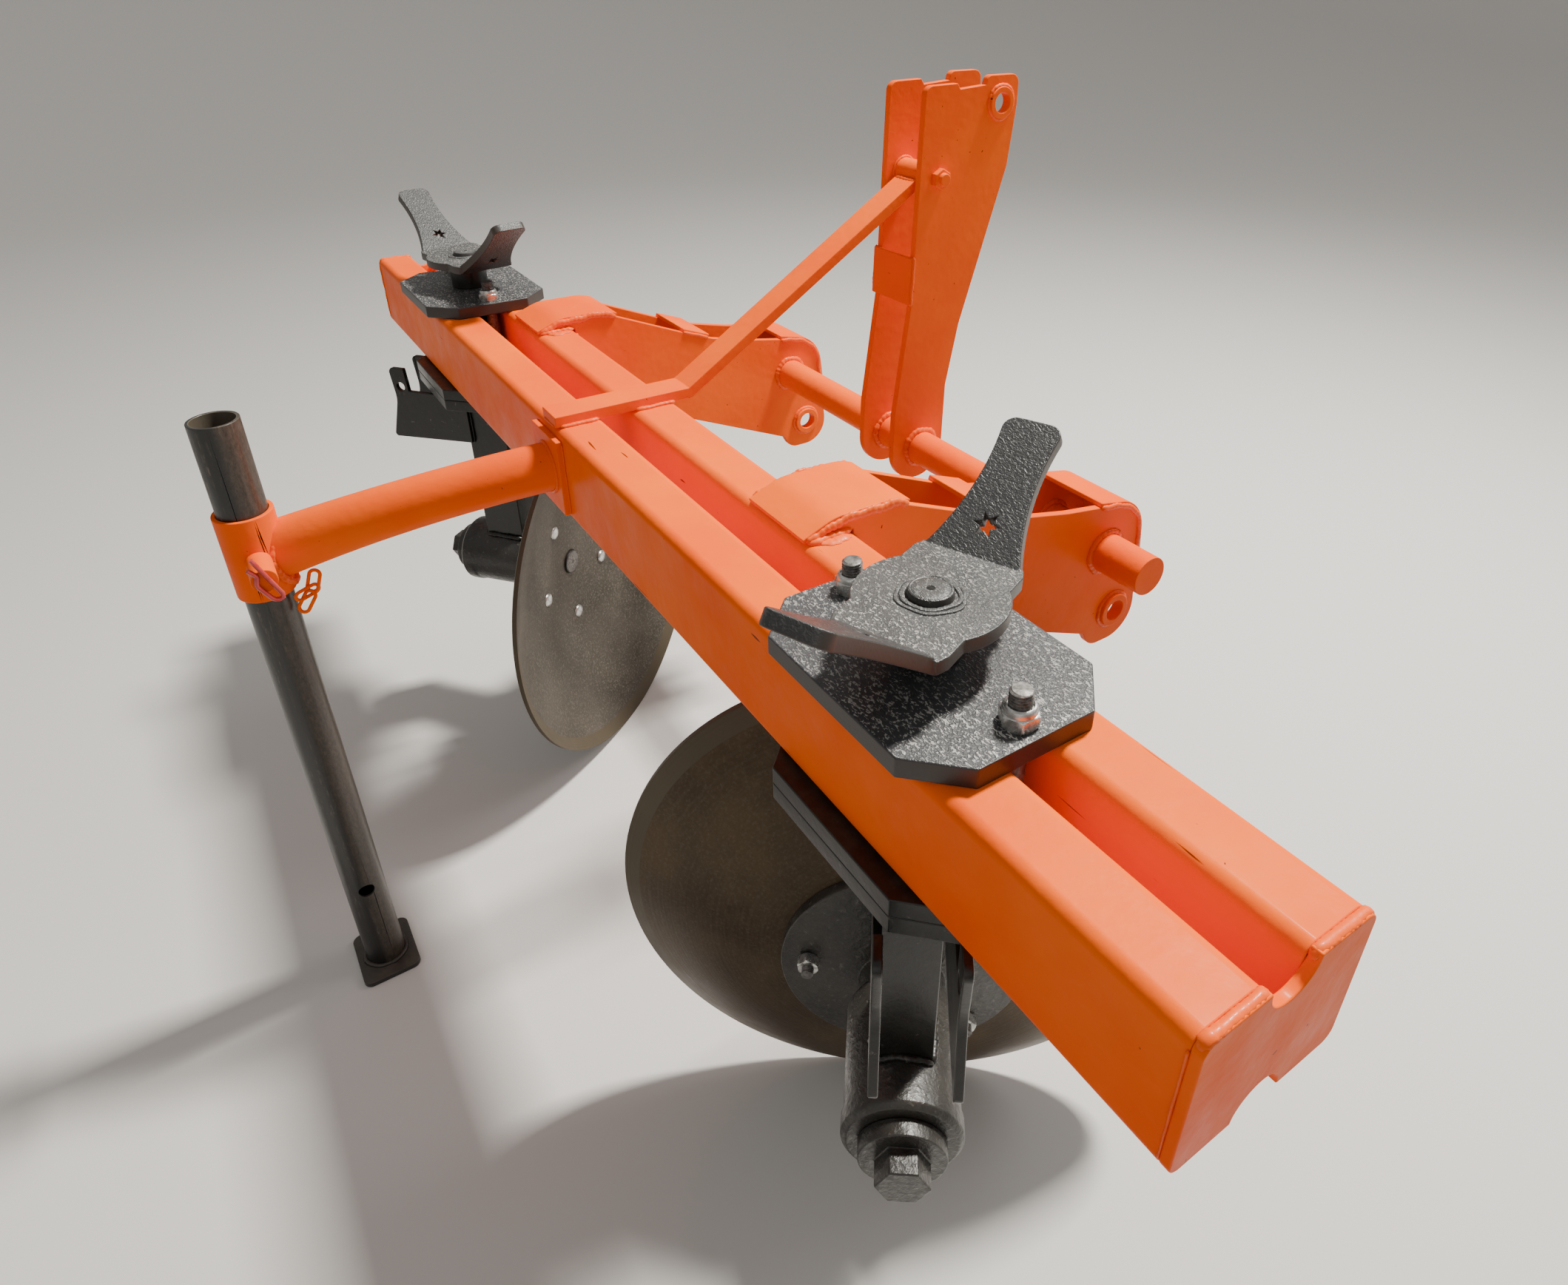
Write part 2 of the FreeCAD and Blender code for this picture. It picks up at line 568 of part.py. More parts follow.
# Mast: two tapered plates on the cross shaft, with the top link bore in their front corner.
MAST_OUTLINE = (
    ("shaft_reach - mast_heel", "-shaft_drop - 49"),
    ("shaft_reach + 41", "-shaft_drop - 49"),
    ("shaft_reach + 43", "60"),
    ("shaft_reach + 61", "150"),
    ("mast_front - 9", "mast_lift - 115"),
    ("mast_front", "mast_lift - 40"),
    ("mast_front", "mast_lift"),
    ("mast_front - 54", "mast_lift"),
    ("mast_front - 57", "mast_lift - 11"),
    ("mast_front - 100", "mast_lift - 14"),
    ("mast_front - 105", "mast_lift - 7"),
    ("mast_front - 156", "mast_lift - 8"),
    ("shaft_reach - mast_waist", "190"),
    ("shaft_reach - mast_shin", "30"),
)
MAST_ROUNDS = (
    ("shaft_reach - mast_heel", "-shaft_drop - 49", "46"),
    ("shaft_reach + 41", "-shaft_drop - 49", "46"),
    ("mast_front", "mast_lift", "12"),
    ("mast_front - 54", "mast_lift", "8"),
    ("mast_front - 156", "mast_lift - 8", "12"),
)
TOP_HOLE = ("top_reach", "top_lift", "top_bore")
STAY_HOLE = ("stay_reach", "stay_lift", "stay_bolt + fit_gap")


def mast_plate(label, start, ring_start):
    base = plate(label + "_plate", "YZ_Plane", MAST_OUTLINE, "mast_thick",
                 holes=(SHAFT_HOLE, TOP_HOLE, STAY_HOLE), rounds=MAST_ROUNDS)
    at = (ring_start, "top_reach", "top_lift")
    ring = cut(label + "_ring", rod(label + "_ring_body", "x", "top_bush", "top_proud", at),
               rod(label + "_ring_bore", "x", "top_bore", "top_proud", at))
    return keep(fuse(label, [base, ring]), label, (start, SHIFT, UNDER))


mast_plate("mast_plate_right", "mast_side + mast_inside / 2", "mast_thick")
mast_plate("mast_plate_left", "mast_side - mast_inside / 2 - mast_thick", "-top_proud")

edge_low = "mast_back + cross_low * mast_lean"
edge_high = "mast_back + cross_high * mast_lean"
cross = plate("mast_rear_strap", "YZ_Plane",
              ((edge_low, "cross_low"), (edge_high, "cross_high"),
               (edge_high + " - cross_thick", "cross_high"),
               (edge_low + " - cross_thick", "cross_low")), "mast_inside + 2 * mast_thick")
keep(cross, "mast_rear_strap", ("mast_side - mast_inside / 2 - mast_thick", SHIFT, UNDER))

spacer = cut("mast_spacer", rod("spacer_body", "x", "stay_tube", "mast_inside"),
             rod("spacer_bore", "x", "stay_bolt + fit_gap", "mast_inside"))
keep(spacer, "mast_spacer", ("mast_side - mast_inside / 2", SHIFT + " + stay_reach",
                             UNDER + " + stay_lift"))
grip = "mast_inside + 2 * mast_thick"
bolt = fuse("mast_bolt", [
    rod("mast_bolt_shank", "x", "stay_bolt", grip + " + stay_high + 6"),
    hexagon("mast_bolt_head", "x", "stay_head", "stay_high", (grip, "0", "0")),
    hexagon("mast_bolt_nut", "x", "stay_head", "stay_high", ("-stay_high", "0", "0")),
    rod("mast_bolt_tail", "x", "stay_bolt", "stay_high + 5", ("-stay_high - 5", "0", "0")),
])
keep(bolt, "mast_bolt", ("mast_side - (%s) / 2" % grip, SHIFT + " + stay_reach",
                         UNDER + " + stay_lift"))

# Brace: a flat bar that lies across both tubes and then rises to the mast's spacer.
RUN = "(stay_reach - brace_bend)"
RISE = "(stay_lift - tube_tall - brace_thick / 2)"
SLOPE = "sqrt(%s ^ 2 + %s ^ 2)" % (RUN, RISE)
EASE = "(brace_thick / 2 * (%s - %s) / %s)" % (SLOPE, RUN, RISE)
STOP = "(stay_tube + seat_gap)"
end_y = "stay_reach - %s * %s / %s" % (STOP, RUN, SLOPE)
end_z = "stay_lift - %s * %s / %s" % (STOP, RISE, SLOPE)
side_y = "brace_thick / 2 * %s / %s" % (RISE, SLOPE)
side_z = "brace_thick / 2 * %s / %s" % (RUN, SLOPE)
brace = plate("brace", "YZ_Plane", (
    ("-" + HALF_DEPTH, "tube_tall"),
    ("brace_bend + " + EASE, "tube_tall"),
    ("%s + %s" % (end_y, side_y), "%s - %s" % (end_z, side_z)),
    ("%s - %s" % (end_y, side_y), "%s + %s" % (end_z, side_z)),
    ("brace_bend - " + EASE, "tube_tall + brace_thick"),
    ("-" + HALF_DEPTH, "tube_tall + brace_thick"),
), "brace_wide")
keep(brace, "brace", ("brace_side - brace_wide / 2", SHIFT, UNDER))

# Parking stand: a pad and a bent pipe behind the rear tube, a collar, and the pipe that
# slides in it with its foot, held by a cross pin with a clip and a chain.
pad_plate = block("stand_pad", ("pad_wide", "pad_thick", "pad_tall"), ("0", "0", "0"))
keep(pad_plate, "stand_pad", ("boom_side - pad_wide / 2", "%s - %s - pad_thick" % (SHIFT, HALF_DEPTH),
                              UNDER + " + (tube_tall - pad_tall) / 2"))
collar_long = "(collar_top + collar_drop)"
collar_holes = rod("collar_hole", "x", "pin_round", "2 * collar_round",
                   ("-collar_round", "0", "collar_drop - pin_drop"))
collar = cut("stand_collar", cut("collar_tube", rod("collar_body", "z", "collar_round", collar_long),
                                 rod("collar_bore", "z", "stand_round + seat_gap", collar_long)),
             collar_holes)
keep(collar, "stand_collar", ("stand_side", SHIFT + " - stand_back", UNDER + " - collar_drop"))


def boom_shape():
    """The bent pipe from the pad to the collar, trimmed to both and clear of the cross pin."""
    start = FreeCAD.Vector(value("boom_side"), -value(HALF_DEPTH + " + pad_thick"), value("boom_lift"))
    end = FreeCAD.Vector(value("stand_side"), -value("stand_back"), value("boom_lift - boom_fall"))
    chord = end - start
    flat = FreeCAD.Vector(chord.x, chord.y, 0)
    tip = flat.normalize()
    up = FreeCAD.Vector(0, 0, 1)
    half = math.radians(value("boom_sag")) / 2
    normal = up * tip.dot(chord) - tip * chord.z
    normal.normalize()
    middle = (start + end) * 0.5 + normal * (chord.Length / 2 * math.tan(half / 2))
    chord.normalize()
    first = start - (chord * math.cos(half) + normal * math.sin(half)) * value("boom_round")
    path = Part.Wire([Part.LineSegment(first, start).toShape(), Part.Arc(start, middle, end).toShape()])
    direction = FreeCAD.Vector(start - first)
    pipe = None
    for radius in (value("boom_round"), value("boom_round - boom_wall")):
        ring = Part.Wire(Part.Circle(first, direction, radius).toShape())
        solid = path.makePipeShell([ring], True, False, 2)
        pipe = solid if pipe is None else pipe.cut(solid)
    far = value("stand_back")
    pipe = pipe.cut(Part.makeCylinder(value("collar_round"), 2 * far, end - up * far))
    beside = FreeCAD.Vector(end.x, end.y, -value("pin_drop"))
    pipe = pipe.cut(Part.makeCylinder(value("knob_round + seat_gap"), far, beside, FreeCAD.Vector(1, 0, 0)))
    corner = FreeCAD.Vector(start.x - far, start.y, start.z - far)
    return pipe.cut(Part.makeBox(2 * far, far, 2 * far, corner))


boom = doc.addObject("Part::Feature", "stand_boom")
boom.Shape = boom_shape()
keep(boom, "stand_boom", ("0", SHIFT, UNDER))

pin_inner = "(stand_round + seat_gap)"
neck_long = "(collar_round - %s + knob_out)" % pin_inner
tail_long = "(collar_round - %s + pin_out)" % pin_inner
knob_cope = rod("pin_knob_cope", "z", "collar_round + fit_gap", "4 * knob_round",
                ("0", "0", "-2 * knob_round"))
knob = cut("pin_knob", rod("pin_knob_bar", "x", "knob_round", "collar_round + knob_out"), knob_cope)
pin = fuse("stand_pin", [
    knob,
    rod("pin_neck", "x", "pin_round - fit_gap", neck_long, (pin_inner, "0", "0")),
    rod("pin_tail", "x", "pin_round - fit_gap", tail_long, ("-%s - %s" % (pin_inner, tail_long), "0", "0")),
])
keep(pin, "stand_pin", ("stand_side", SHIFT + " - stand_back", UNDER + " - pin_drop"))

pipe_long = "(bar_under - foot_thick + stand_over)"
stand_holes = fuse("stand_holes", [
    rod("stand_hole_pin", "x", "stand_hole", "3 * stand_round",
        ("-1.5 * stand_round", "0", "bar_under - foot_thick - pin_drop")),
    rod("stand_hole_spare", "x", "stand_hole", "3 * stand_round",
        ("-1.5 * stand_round", "0", "bar_under - foot_thick - spare_drop")),
])
stand_pipe = cut("stand_pipe", cut("stand_tube", rod("stand_body", "z", "stand_round", pipe_long),
                                   rod("stand_bore", "z", "stand_round - stand_wall", pipe_long)),
                 stand_holes)
keep(stand_pipe, "stand_pipe", ("stand_side", SHIFT + " - stand_back", "foot_thick"))
half_long = "foot_long / 2"
foot_corners = (("-" + half_long, "-" + HALF_FOOT), (half_long, "-" + HALF_FOOT),
                (half_long, HALF_FOOT), ("-" + half_long, HALF_FOOT))
foot = plate("stand_foot", "XY_Plane", foot_corners, "foot_thick",
             rounds=[(u, v, "foot_round") for u, v in foot_corners])
keep(foot, "stand_foot", ("stand_side", SHIFT + " - stand_back", "0"))

# Clamps: a plate on top of the tubes and two below, drawn together by two bolts in the gap.
long_half = "clamp_long / 2"
deep_half = "clamp_deep / 2"
CLAMP_OUTLINE = (
    ("-%s + clamp_corner" % long_half, "-" + deep_half), (long_half + " - clamp_corner", "-" + deep_half),
    (long_half, "-%s + clamp_corner" % deep_half), (long_half, deep_half + " - clamp_corner"),
    (long_half + " - clamp_corner", deep_half), ("-%s + clamp_corner" % long_half, deep_half),
    ("-" + long_half, deep_half + " - clamp_corner"), ("-" + long_half, "-%s + clamp_corner" % deep_half),
)
CLAMP_HOLES = (
    ("0", "0", "stem_round + clamp_slack"),
    ("-bolt_side", "0", "bolt_round + fit_gap"),
    ("bolt_side", "0", "bolt_round + fit_gap"),
)
LEVELS = (
    ("top_plate", "tube_tall"),
    ("lower_plate", "-clamp_thick"),
    ("base_plate", "-2 * clamp_thick"),
)
BOLT_LONG = "(tube_tall + 3 * clamp_thick + bolt_nut + bolt_rise)"


def clamp_bolt(label, place):
    pieces = [
        rod(label + "_shank", "z", "bolt_round", BOLT_LONG),
        hexagon(label + "_head", "z", "bolt_head", "bolt_cap", ("0", "0", "-bolt_cap")),
        hexagon(label + "_nut", "z", "bolt_head", "bolt_nut", ("0", "0", "tube_tall + 3 * clamp_thick")),
    ]
    return keep(fuse(label, pieces), label, place)


# Disc units: handle, stem, standard and hub turn together in a clamp; disc and flange turn
# on the hub. Each is drawn with the stem on Z and the axle along Y, and then turned.
STAR_POINTS = 6


def handle_shape():
    """A flat middle and two wings that bend upward, with a small star cut in each."""
    thick = value("grip_thick")
    shoulder = value("grip_shoulder")
    square = value("grip_square")
    root = value("grip_root")
    bend = value("grip_bend")
    reach = value("grip_wing")
    waist = value("grip_waist")
    tip = value("grip_tip")
    corner = value("grip_corner")
    half_way = value("grip_wing / 2")
    star_place = value("star_place")
    edge = ((shoulder, -square), (shoulder, square), (root, bend), (-root, bend),
            (-shoulder, square), (-shoulder, -square), (-root, -bend), (root, -bend))
    ring = [FreeCAD.Vector(u, v, 0) for u, v in edge + edge[:1]]
    flat = Part.Face(Part.makePolygon(ring)).extrude(FreeCAD.Vector(0, 0, thick))
    whole = flat.fuse(Part.makeCylinder(value("grip_round"), thick))
    for sign in (1, -1):
        low = FreeCAD.Vector(-root, 0, 0)
        high = FreeCAD.Vector(root, 0, 0)
        far_left = FreeCAD.Vector(-tip, reach, 0)
        far_right = FreeCAD.Vector(tip, reach, 0)
        rounded_left = FreeCAD.Vector(-tip, reach - corner, 0)
        rounded_right = FreeCAD.Vector(tip, reach - corner, 0)
        inset_left = FreeCAD.Vector(-tip + corner, reach, 0)
        inset_right = FreeCAD.Vector(tip - corner, reach, 0)
        slant = corner * (1 - math.sqrt(0.5))
        wire = Part.Wire([
            Part.LineSegment(low, high).toShape(),
            Part.Arc(high, FreeCAD.Vector(waist, half_way, 0), rounded_right).toShape(),
            Part.Arc(rounded_right, far_right + FreeCAD.Vector(-slant, -slant, 0), inset_right).toShape(),
            Part.LineSegment(inset_right, inset_left).toShape(),
            Part.Arc(inset_left, far_left + FreeCAD.Vector(slant, -slant, 0), rounded_left).toShape(),
            Part.Arc(rounded_left, FreeCAD.Vector(-waist, half_way, 0), low).toShape(),
        ])
        wing = Part.Face(wire).extrude(FreeCAD.Vector(0, 0, thick))
        star = []
        for i in range(2 * STAR_POINTS):
            length = value("star_round") if i % 2 == 0 else value("star_inner")
            angle = math.radians(180 / STAR_POINTS * i)
            star.append(FreeCAD.Vector(length * math.cos(angle), star_place + length * math.sin(angle), 0))
        star.append(star[0])
        wing = wing.cut(Part.Face(Part.makePolygon(star)).extrude(FreeCAD.Vector(0, 0, thick)))
        wing.rotate(FreeCAD.Vector(), FreeCAD.Vector(1, 0, 0), value("grip_lift"))
        wing.translate(FreeCAD.Vector(0, bend, 0))
        if sign < 0:
            wing.rotate(FreeCAD.Vector(), FreeCAD.Vector(0, 0, 1), 180)
        whole = whole.fuse(wing)
    bore = Part.makeCylinder(value("stem_round + fit_gap"), thick)
    return whole.removeSplitter().cut(bore)


def disc_unit(side, sign):
    spread = "(arm_spread / 2 + arm_inside / 2 + arm_thick + %s_gap + clamp_long / 2)" % side
    centre = "(hitch_side + %s * %s)" % (sign, spread)
    turn = "%s * %s_turn" % (sign, side)
    hub_place = (centre, SHIFT, AXLE_HIGH)
    bar_place = (centre, SHIFT, UNDER)
    for level, height in LEVELS:
        label = "%s_clamp_%s" % (side, level)
        body = plate(label, "XY_Plane", CLAMP_OUTLINE, "clamp_thick", holes=CLAMP_HOLES)
        keep(body, label, (centre, SHIFT, "%s + %s" % (UNDER, height)))
    for where, step in (("inner", "-"), ("outer", "")):
        label = "%s_clamp_bolt_%s" % (side, where)
        clamp_bolt(label, ("%s + %s%s * bolt_side" % (centre, step, sign), SHIFT,
                           UNDER + " - 2 * clamp_thick"))

    label = side + "_stem"
    stem_long = "%s + %s + grip_thick + stem_proud" % (STACK_FLOOR, GRIP_FLOOR)
    stem = fuse(label, [
        rod(label + "_bar", "z", "stem_round", stem_long, ("0", "0", "-%s" % STACK_FLOOR)),
        rod(label + "_neck", "z", "neck_round", "neck_tall", ("0", "0", STEM_TOP)),
        rod(label + "_crown", "z", "crown_round", "crown_thick", ("0", "0", "-" + POST_TOP)),
        rod(label + "_foot", "z", "stem_round", "seat_gap", ("0", "0", "-%s - seat_gap" % STACK_FLOOR)),
    ])
    keep(stem, label, bar_place, turn)

    label = side + "_handle"
    handle = doc.addObject("Part::Feature", label)
    handle.Shape = handle_shape()
    keep(handle, label, (centre, SHIFT, "%s + %s" % (UNDER, GRIP_FLOOR)), turn + " + grip_turn")

    label = side + "_standard"
    post_long = "(axle_drop - %s)" % POST_TOP
    outside = block(label + "_outside", ("post_wide", "post_deep", post_long),
                    ("-post_wide / 2", "-post_deep / 2", "-axle_drop"))
    inside = block(label + "_inside", ("post_wide - 2 * post_wall", "post_deep - 2 * post_wall", post_long),
                   ("-post_wide / 2 + post_wall", "-post_deep / 2 + post_wall", "-axle_drop"))
    coped = rod(label + "_cope", "y", "hub_round + fit_gap", "2 * post_deep",
                ("0", "-post_deep", "-axle_drop"))
    keep(cut(label, cut(label + "_box", outside, inside), coped), label, bar_place, turn)

    shelf = "-%s - bolt_cap - ear_clear" % STACK_FLOOR
    ear_corners = (
        ("-post_deep / 2 + 10", shelf), ("-ear_notch", shelf), ("-ear_notch - 3", "-ear_top"),
        ("-ear_back", "-ear_top"), ("-ear_back + 6", "-ear_waist"), ("-ear_reach", "-ear_low"),
        ("-post_deep / 2 + 10", "-ear_low + 6"),
    )
    ear_rounds = (("-ear_back", "-ear_top", "9"), ("-ear_back + 6", "-ear_waist", "60"),
                  ("-ear_reach", "-ear_low", "6"))
    for where, start in (("right", "post_wide / 2"), ("left", "-post_wide / 2 - ear_thick")):
        label = "%s_ear_%s" % (side, where)
        ear = plate(label, "YZ_Plane", ear_corners, "ear_thick",
                    holes=(("-hole_back", "-hole_drop", "ear_hole"),), rounds=ear_rounds)
        lateral = "(%s)" % start
        place = ("%s + %s * cos(%s)" % (centre, lateral, turn),
                 "%s + %s * sin(%s)" % (SHIFT, lateral, turn), UNDER)
        keep(ear, label, place, turn)

    label = side + "_hub_housing"
    bore = "axle_round + seat_gap"
    hub = turned(label, (
        ("-hub_back", bore), ("-hub_back", "hub_round - 3"), ("-hub_back + 5", "hub_round + 2"),
        ("-hub_back + 22", "hub_round + 2"), ("-hub_back + 26", "hub_round"),
        ("hub_front - 12", "hub_round"), ("hub_front", "hub_round - 8"), ("hub_front", bore),
    ))
    keep(hub, label, hub_place, turn)

    label = side + "_disc"
    ball_centre = ("0", "%s + %s" % (DISH_BACK, BALL), "0")
    outer = doc.addObject("Part::Sphere", label + "_back")
    bind(outer, "Radius", BALL)
    inner = doc.addObject("Part::Sphere", label + "_face")
    bind(inner, "Radius", BALL + " - disc_thick")
    for ball in (outer, inner):
        bind(ball, "Placement.Base.y", ball_centre[1])
    slug = rod(label + "_slug", "y", "disc_round", "disc_dish + 20", ("0", DISH_BACK, "0"))
    pilot = rod(label + "_pilot", "y", "axle_round + fit_gap", "60", ("0", DISH_BACK + " - 20", "0"))
    shell = common(label + "_shell", [cut(label + "_skin", outer, inner), slug])
    keep(cut(label, shell, pilot), label, hub_place, turn)

    label = side + "_flange"
    casting = turned(label + "_casting", (
        ("hub_front + seat_gap", "axle_round"), ("hub_front + seat_gap", "hub_round - 14"),
        (DISH_BACK + " - flange_thick - 4", "hub_round - 10"),
        (DISH_BACK + " + flange_dip - flange_thick", "flange_round"),
        (DISH_BACK + " + flange_dip + 8", "flange_round"), (DISH_BACK + " + flange_dip + 8", "axle_round"),
    ))
    seat = doc.addObject("Part::Sphere", label + "_seat")
    bind(seat, "Radius", BALL + " + seat_gap")
    bind(seat, "Placement.Base.y", ball_centre[1])
    axle_back = "-hub_back - seat_gap - nose_thick"
    axle = rod(label + "_axle", "y", "axle_round", "%s + disc_thick + 5 - (%s)" % (DISH_BACK, axle_back),
               ("0", axle_back, "0"))
    keep(fuse(label, [cut(label + "_dished", casting, seat), axle]), label, hub_place, turn)

    label = side + "_axle_nut"
    nose = "-hub_back - seat_gap"
    washer = cut(label + "_washer", rod(label + "_disc", "y", "nose_round", "nose_thick",
                                        ("0", nose + " - nose_thick", "0")),
                 rod(label + "_hole", "y", "axle_round + fit_gap", "nose_thick",
                     ("0", nose + " - nose_thick", "0")))
    nut = hexagon(label + "_hex", "y", "nut_round", "nut_tall",
                  ("0", nose + " - nose_thick - nut_tall", "0"))
    keep(fuse(label, [washer, nut]), label, hub_place, turn)


disc_unit("right", "1")
disc_unit("left", "-1")

doc.recompute()
os.makedirs("parts", exist_ok=True)
for thing in doc.Objects:
    if "Invalid" in thing.State or "Error" in thing.State:
        raise ValueError("%s failed: %s" % (thing.Label, thing.State))
for node in nodes:
    if node.Shape.isNull() or not node.Shape.isValid():
        raise ValueError(node.Label + " has no valid shape")
for node in nodes:
    node.Shape.exportStep("parts/%s.step" % node.Label)
    print(node.Label, len(node.Shape.Solids), round(node.Shape.Volume / 1000))
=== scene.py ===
import bmesh
import bpy
import json
import math
import numpy as np
from mathutils import Euler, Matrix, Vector

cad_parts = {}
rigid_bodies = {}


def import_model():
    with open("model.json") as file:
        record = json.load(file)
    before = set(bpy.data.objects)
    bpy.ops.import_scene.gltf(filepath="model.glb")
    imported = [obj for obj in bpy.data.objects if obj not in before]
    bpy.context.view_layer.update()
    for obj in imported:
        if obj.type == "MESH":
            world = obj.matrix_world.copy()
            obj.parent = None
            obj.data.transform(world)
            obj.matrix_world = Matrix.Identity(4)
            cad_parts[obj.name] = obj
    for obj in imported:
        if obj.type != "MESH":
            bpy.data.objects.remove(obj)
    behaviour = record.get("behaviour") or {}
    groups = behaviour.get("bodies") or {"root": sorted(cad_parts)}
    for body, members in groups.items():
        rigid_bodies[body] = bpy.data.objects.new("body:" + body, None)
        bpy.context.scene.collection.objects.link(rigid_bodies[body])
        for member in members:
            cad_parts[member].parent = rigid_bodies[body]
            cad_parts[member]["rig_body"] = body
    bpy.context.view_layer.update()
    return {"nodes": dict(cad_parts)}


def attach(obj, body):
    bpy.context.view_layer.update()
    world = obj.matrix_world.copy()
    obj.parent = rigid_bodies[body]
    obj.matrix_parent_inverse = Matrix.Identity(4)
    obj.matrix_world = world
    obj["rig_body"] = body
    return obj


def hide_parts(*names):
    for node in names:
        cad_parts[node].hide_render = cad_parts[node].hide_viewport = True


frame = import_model()
nodes = frame["nodes"]

# The camera stands behind the right end of the toolbar, a little higher than the mast, and looks
# forward, down and to the left over the whole implement.
camera_data = bpy.data.cameras.new("camera")
camera_data.lens = 22.734
camera_data.sensor_width = 36
camera_data.shift_x = -0.0288
camera_data.shift_y = -0.0740
camera = bpy.data.objects.new("camera", camera_data)
camera.location = (1.0892, -0.4789, 1.3135)
camera.rotation_euler = Euler([math.radians(angle) for angle in (60.637, -0.092, 56.380)])
bpy.context.scene.collection.objects.link(camera)
bpy.context.scene.camera = camera

# The studio: a pale matt floor that sweeps up far away on every side, three soft lamps and a
# dim sky.
FLOOR_FLAT, FLOOR_WIDE, FLOOR_HIGH = 6.0, 14.0, 7.0


def once_round(count):
    """Even angles from 0 up to a full turn, without the full turn itself."""
    return np.linspace(0, 2 * math.pi, count + 1)[:-1]


reach, turn = np.meshgrid(np.linspace(0.01, 1, 60), once_round(96), indexing="ij")
swept = np.clip((reach * FLOOR_WIDE - FLOOR_FLAT) / (FLOOR_WIDE - FLOOR_FLAT), 0, 1)
floor_grid = np.stack([reach * FLOOR_WIDE * np.cos(turn), reach * FLOOR_WIDE * np.sin(turn),
                       FLOOR_HIGH * swept ** 2.5], -1)


def ring_faces(rows, count):
    """The quads between rows of rings of count points each, as one array of corner numbers."""
    row, column = np.meshgrid(np.arange(rows - 1), np.arange(count), indexing="ij")
    after = (column + 1) % count
    quads = np.stack([row * count + column, row * count + after,
                      (row + 1) * count + after, (row + 1) * count + column], -1)
    return quads.reshape(-1, 4)


floor_mesh = bpy.data.meshes.new("floor")
floor_hub = list(range(turn.shape[1]))
floor_mesh.from_pydata(floor_grid.reshape(-1, 3).tolist(), [],
                       ring_faces(*turn.shape)[:, ::-1].tolist() + [floor_hub])
floor_mesh.shade_smooth()
floor = bpy.data.objects.new("floor", floor_mesh)
bpy.context.scene.collection.objects.link(floor)
floor_paint = bpy.data.materials.new("pale_floor")
floor_paint.use_nodes = True
floor_shader = floor_paint.node_tree.nodes["Principled BSDF"]
floor_shader.inputs["Base Color"].default_value = (0.6, 0.59, 0.575, 1)
floor_shader.inputs["Roughness"].default_value = 0.9
floor_mesh.materials.append(floor_paint)
LAMPS = (
    # name, place, size, watts, colour
    ("key_lamp", (0.1, 2.0, 4.3), 0.5, 455, (1.0, 0.96, 0.88)),
    ("fill_lamp", (2.4, -2.6, 2.2), 2.5, 11, (1.0, 0.97, 0.94)),
    ("front_lamp", (0.6, 3.0, 2.4), 1.2, 25, (1.0, 0.98, 0.95)),
)
for name, place, size, watts, colour in LAMPS:
    lamp_data = bpy.data.lights.new(name, "AREA")
    lamp_data.size = size
    lamp_data.energy = watts
    lamp_data.color = colour
    lamp = bpy.data.objects.new(name, lamp_data)
    lamp.location = place
    lamp.rotation_euler = (Vector((0, 0, 0.6)) - Vector(place)).to_track_quat("-Z", "Y").to_euler()
    bpy.context.scene.collection.objects.link(lamp)
world = bpy.data.worlds.new("studio")
world.use_nodes = True
world.node_tree.nodes["Background"].inputs["Color"].default_value = (1.0, 0.97, 0.93, 1)
world.node_tree.nodes["Background"].inputs["Strength"].default_value = 0.47
bpy.context.scene.world = world


# Toolbar tubes: two long rectangular steel tubes, side by side with a gap for the clamp bolts,
# sprayed in a thick orange gloss that has faded in blotches on the sunny faces.
def add(tree, kind, values=(), **settings):
    """One shader node with its settings, and its sockets set to numbers or joined to others."""
    made = tree.nodes.new("ShaderNode" + kind)
    for name, setting in settings.items():
        setattr(made, name, setting)
    for socket, value in dict(values).items():
        if isinstance(value, bpy.types.NodeSocket):
            tree.links.new(value, made.inputs[socket])
        else:
            made.inputs[socket].default_value = value
    return made


def finish(name, roughness, metallic=0.0, coat=0.0, coat_roughness=0.1):
    """A new material with its fixed numbers on the shader itself."""
    material = bpy.data.materials.new(name)
    material.use_nodes = True
    tree = material.node_tree
    shader = tree.nodes["Principled BSDF"]
    shader.inputs["Roughness"].default_value = roughness
    shader.inputs["Metallic"].default_value = metallic
    shader.inputs["Coat Weight"].default_value = coat
    shader.inputs["Coat Roughness"].default_value = coat_roughness
    place = add(tree, "TexCoord").outputs["Object"]
    return material, tree, shader, place


def grain(tree, place, scale, detail=3.0, roughness=0.55, distortion=0.0):
    """Cloudy noise over the place, from 0 to 1."""
    return add(tree, "TexNoise", {"Vector": place, "Scale": scale, "Detail": detail,
                                  "Roughness": roughness, "Distortion": distortion}).outputs["Fac"]


def ramp(tree, value, low, high, dark=0.0, bright=1.0):
    """The value between low and high, stretched to run from dark to bright."""
    return add(tree, "MapRange", {"Value": value, "From Min": low, "From Max": high,
                                  "To Min": dark, "To Max": bright}).outputs["Result"]


def blend(tree, share, first, second):
    """Two colours mixed by a share from 0 to 1."""
    made = add(tree, "Mix", {0: share}, data_type="RGBA")
    for index, colour in ((6, first), (7, second)):
        if isinstance(colour, bpy.types.NodeSocket):
            tree.links.new(colour, made.inputs[index])
        else:
            made.inputs[index].default_value = (*colour, 1)
    return made.outputs[2]


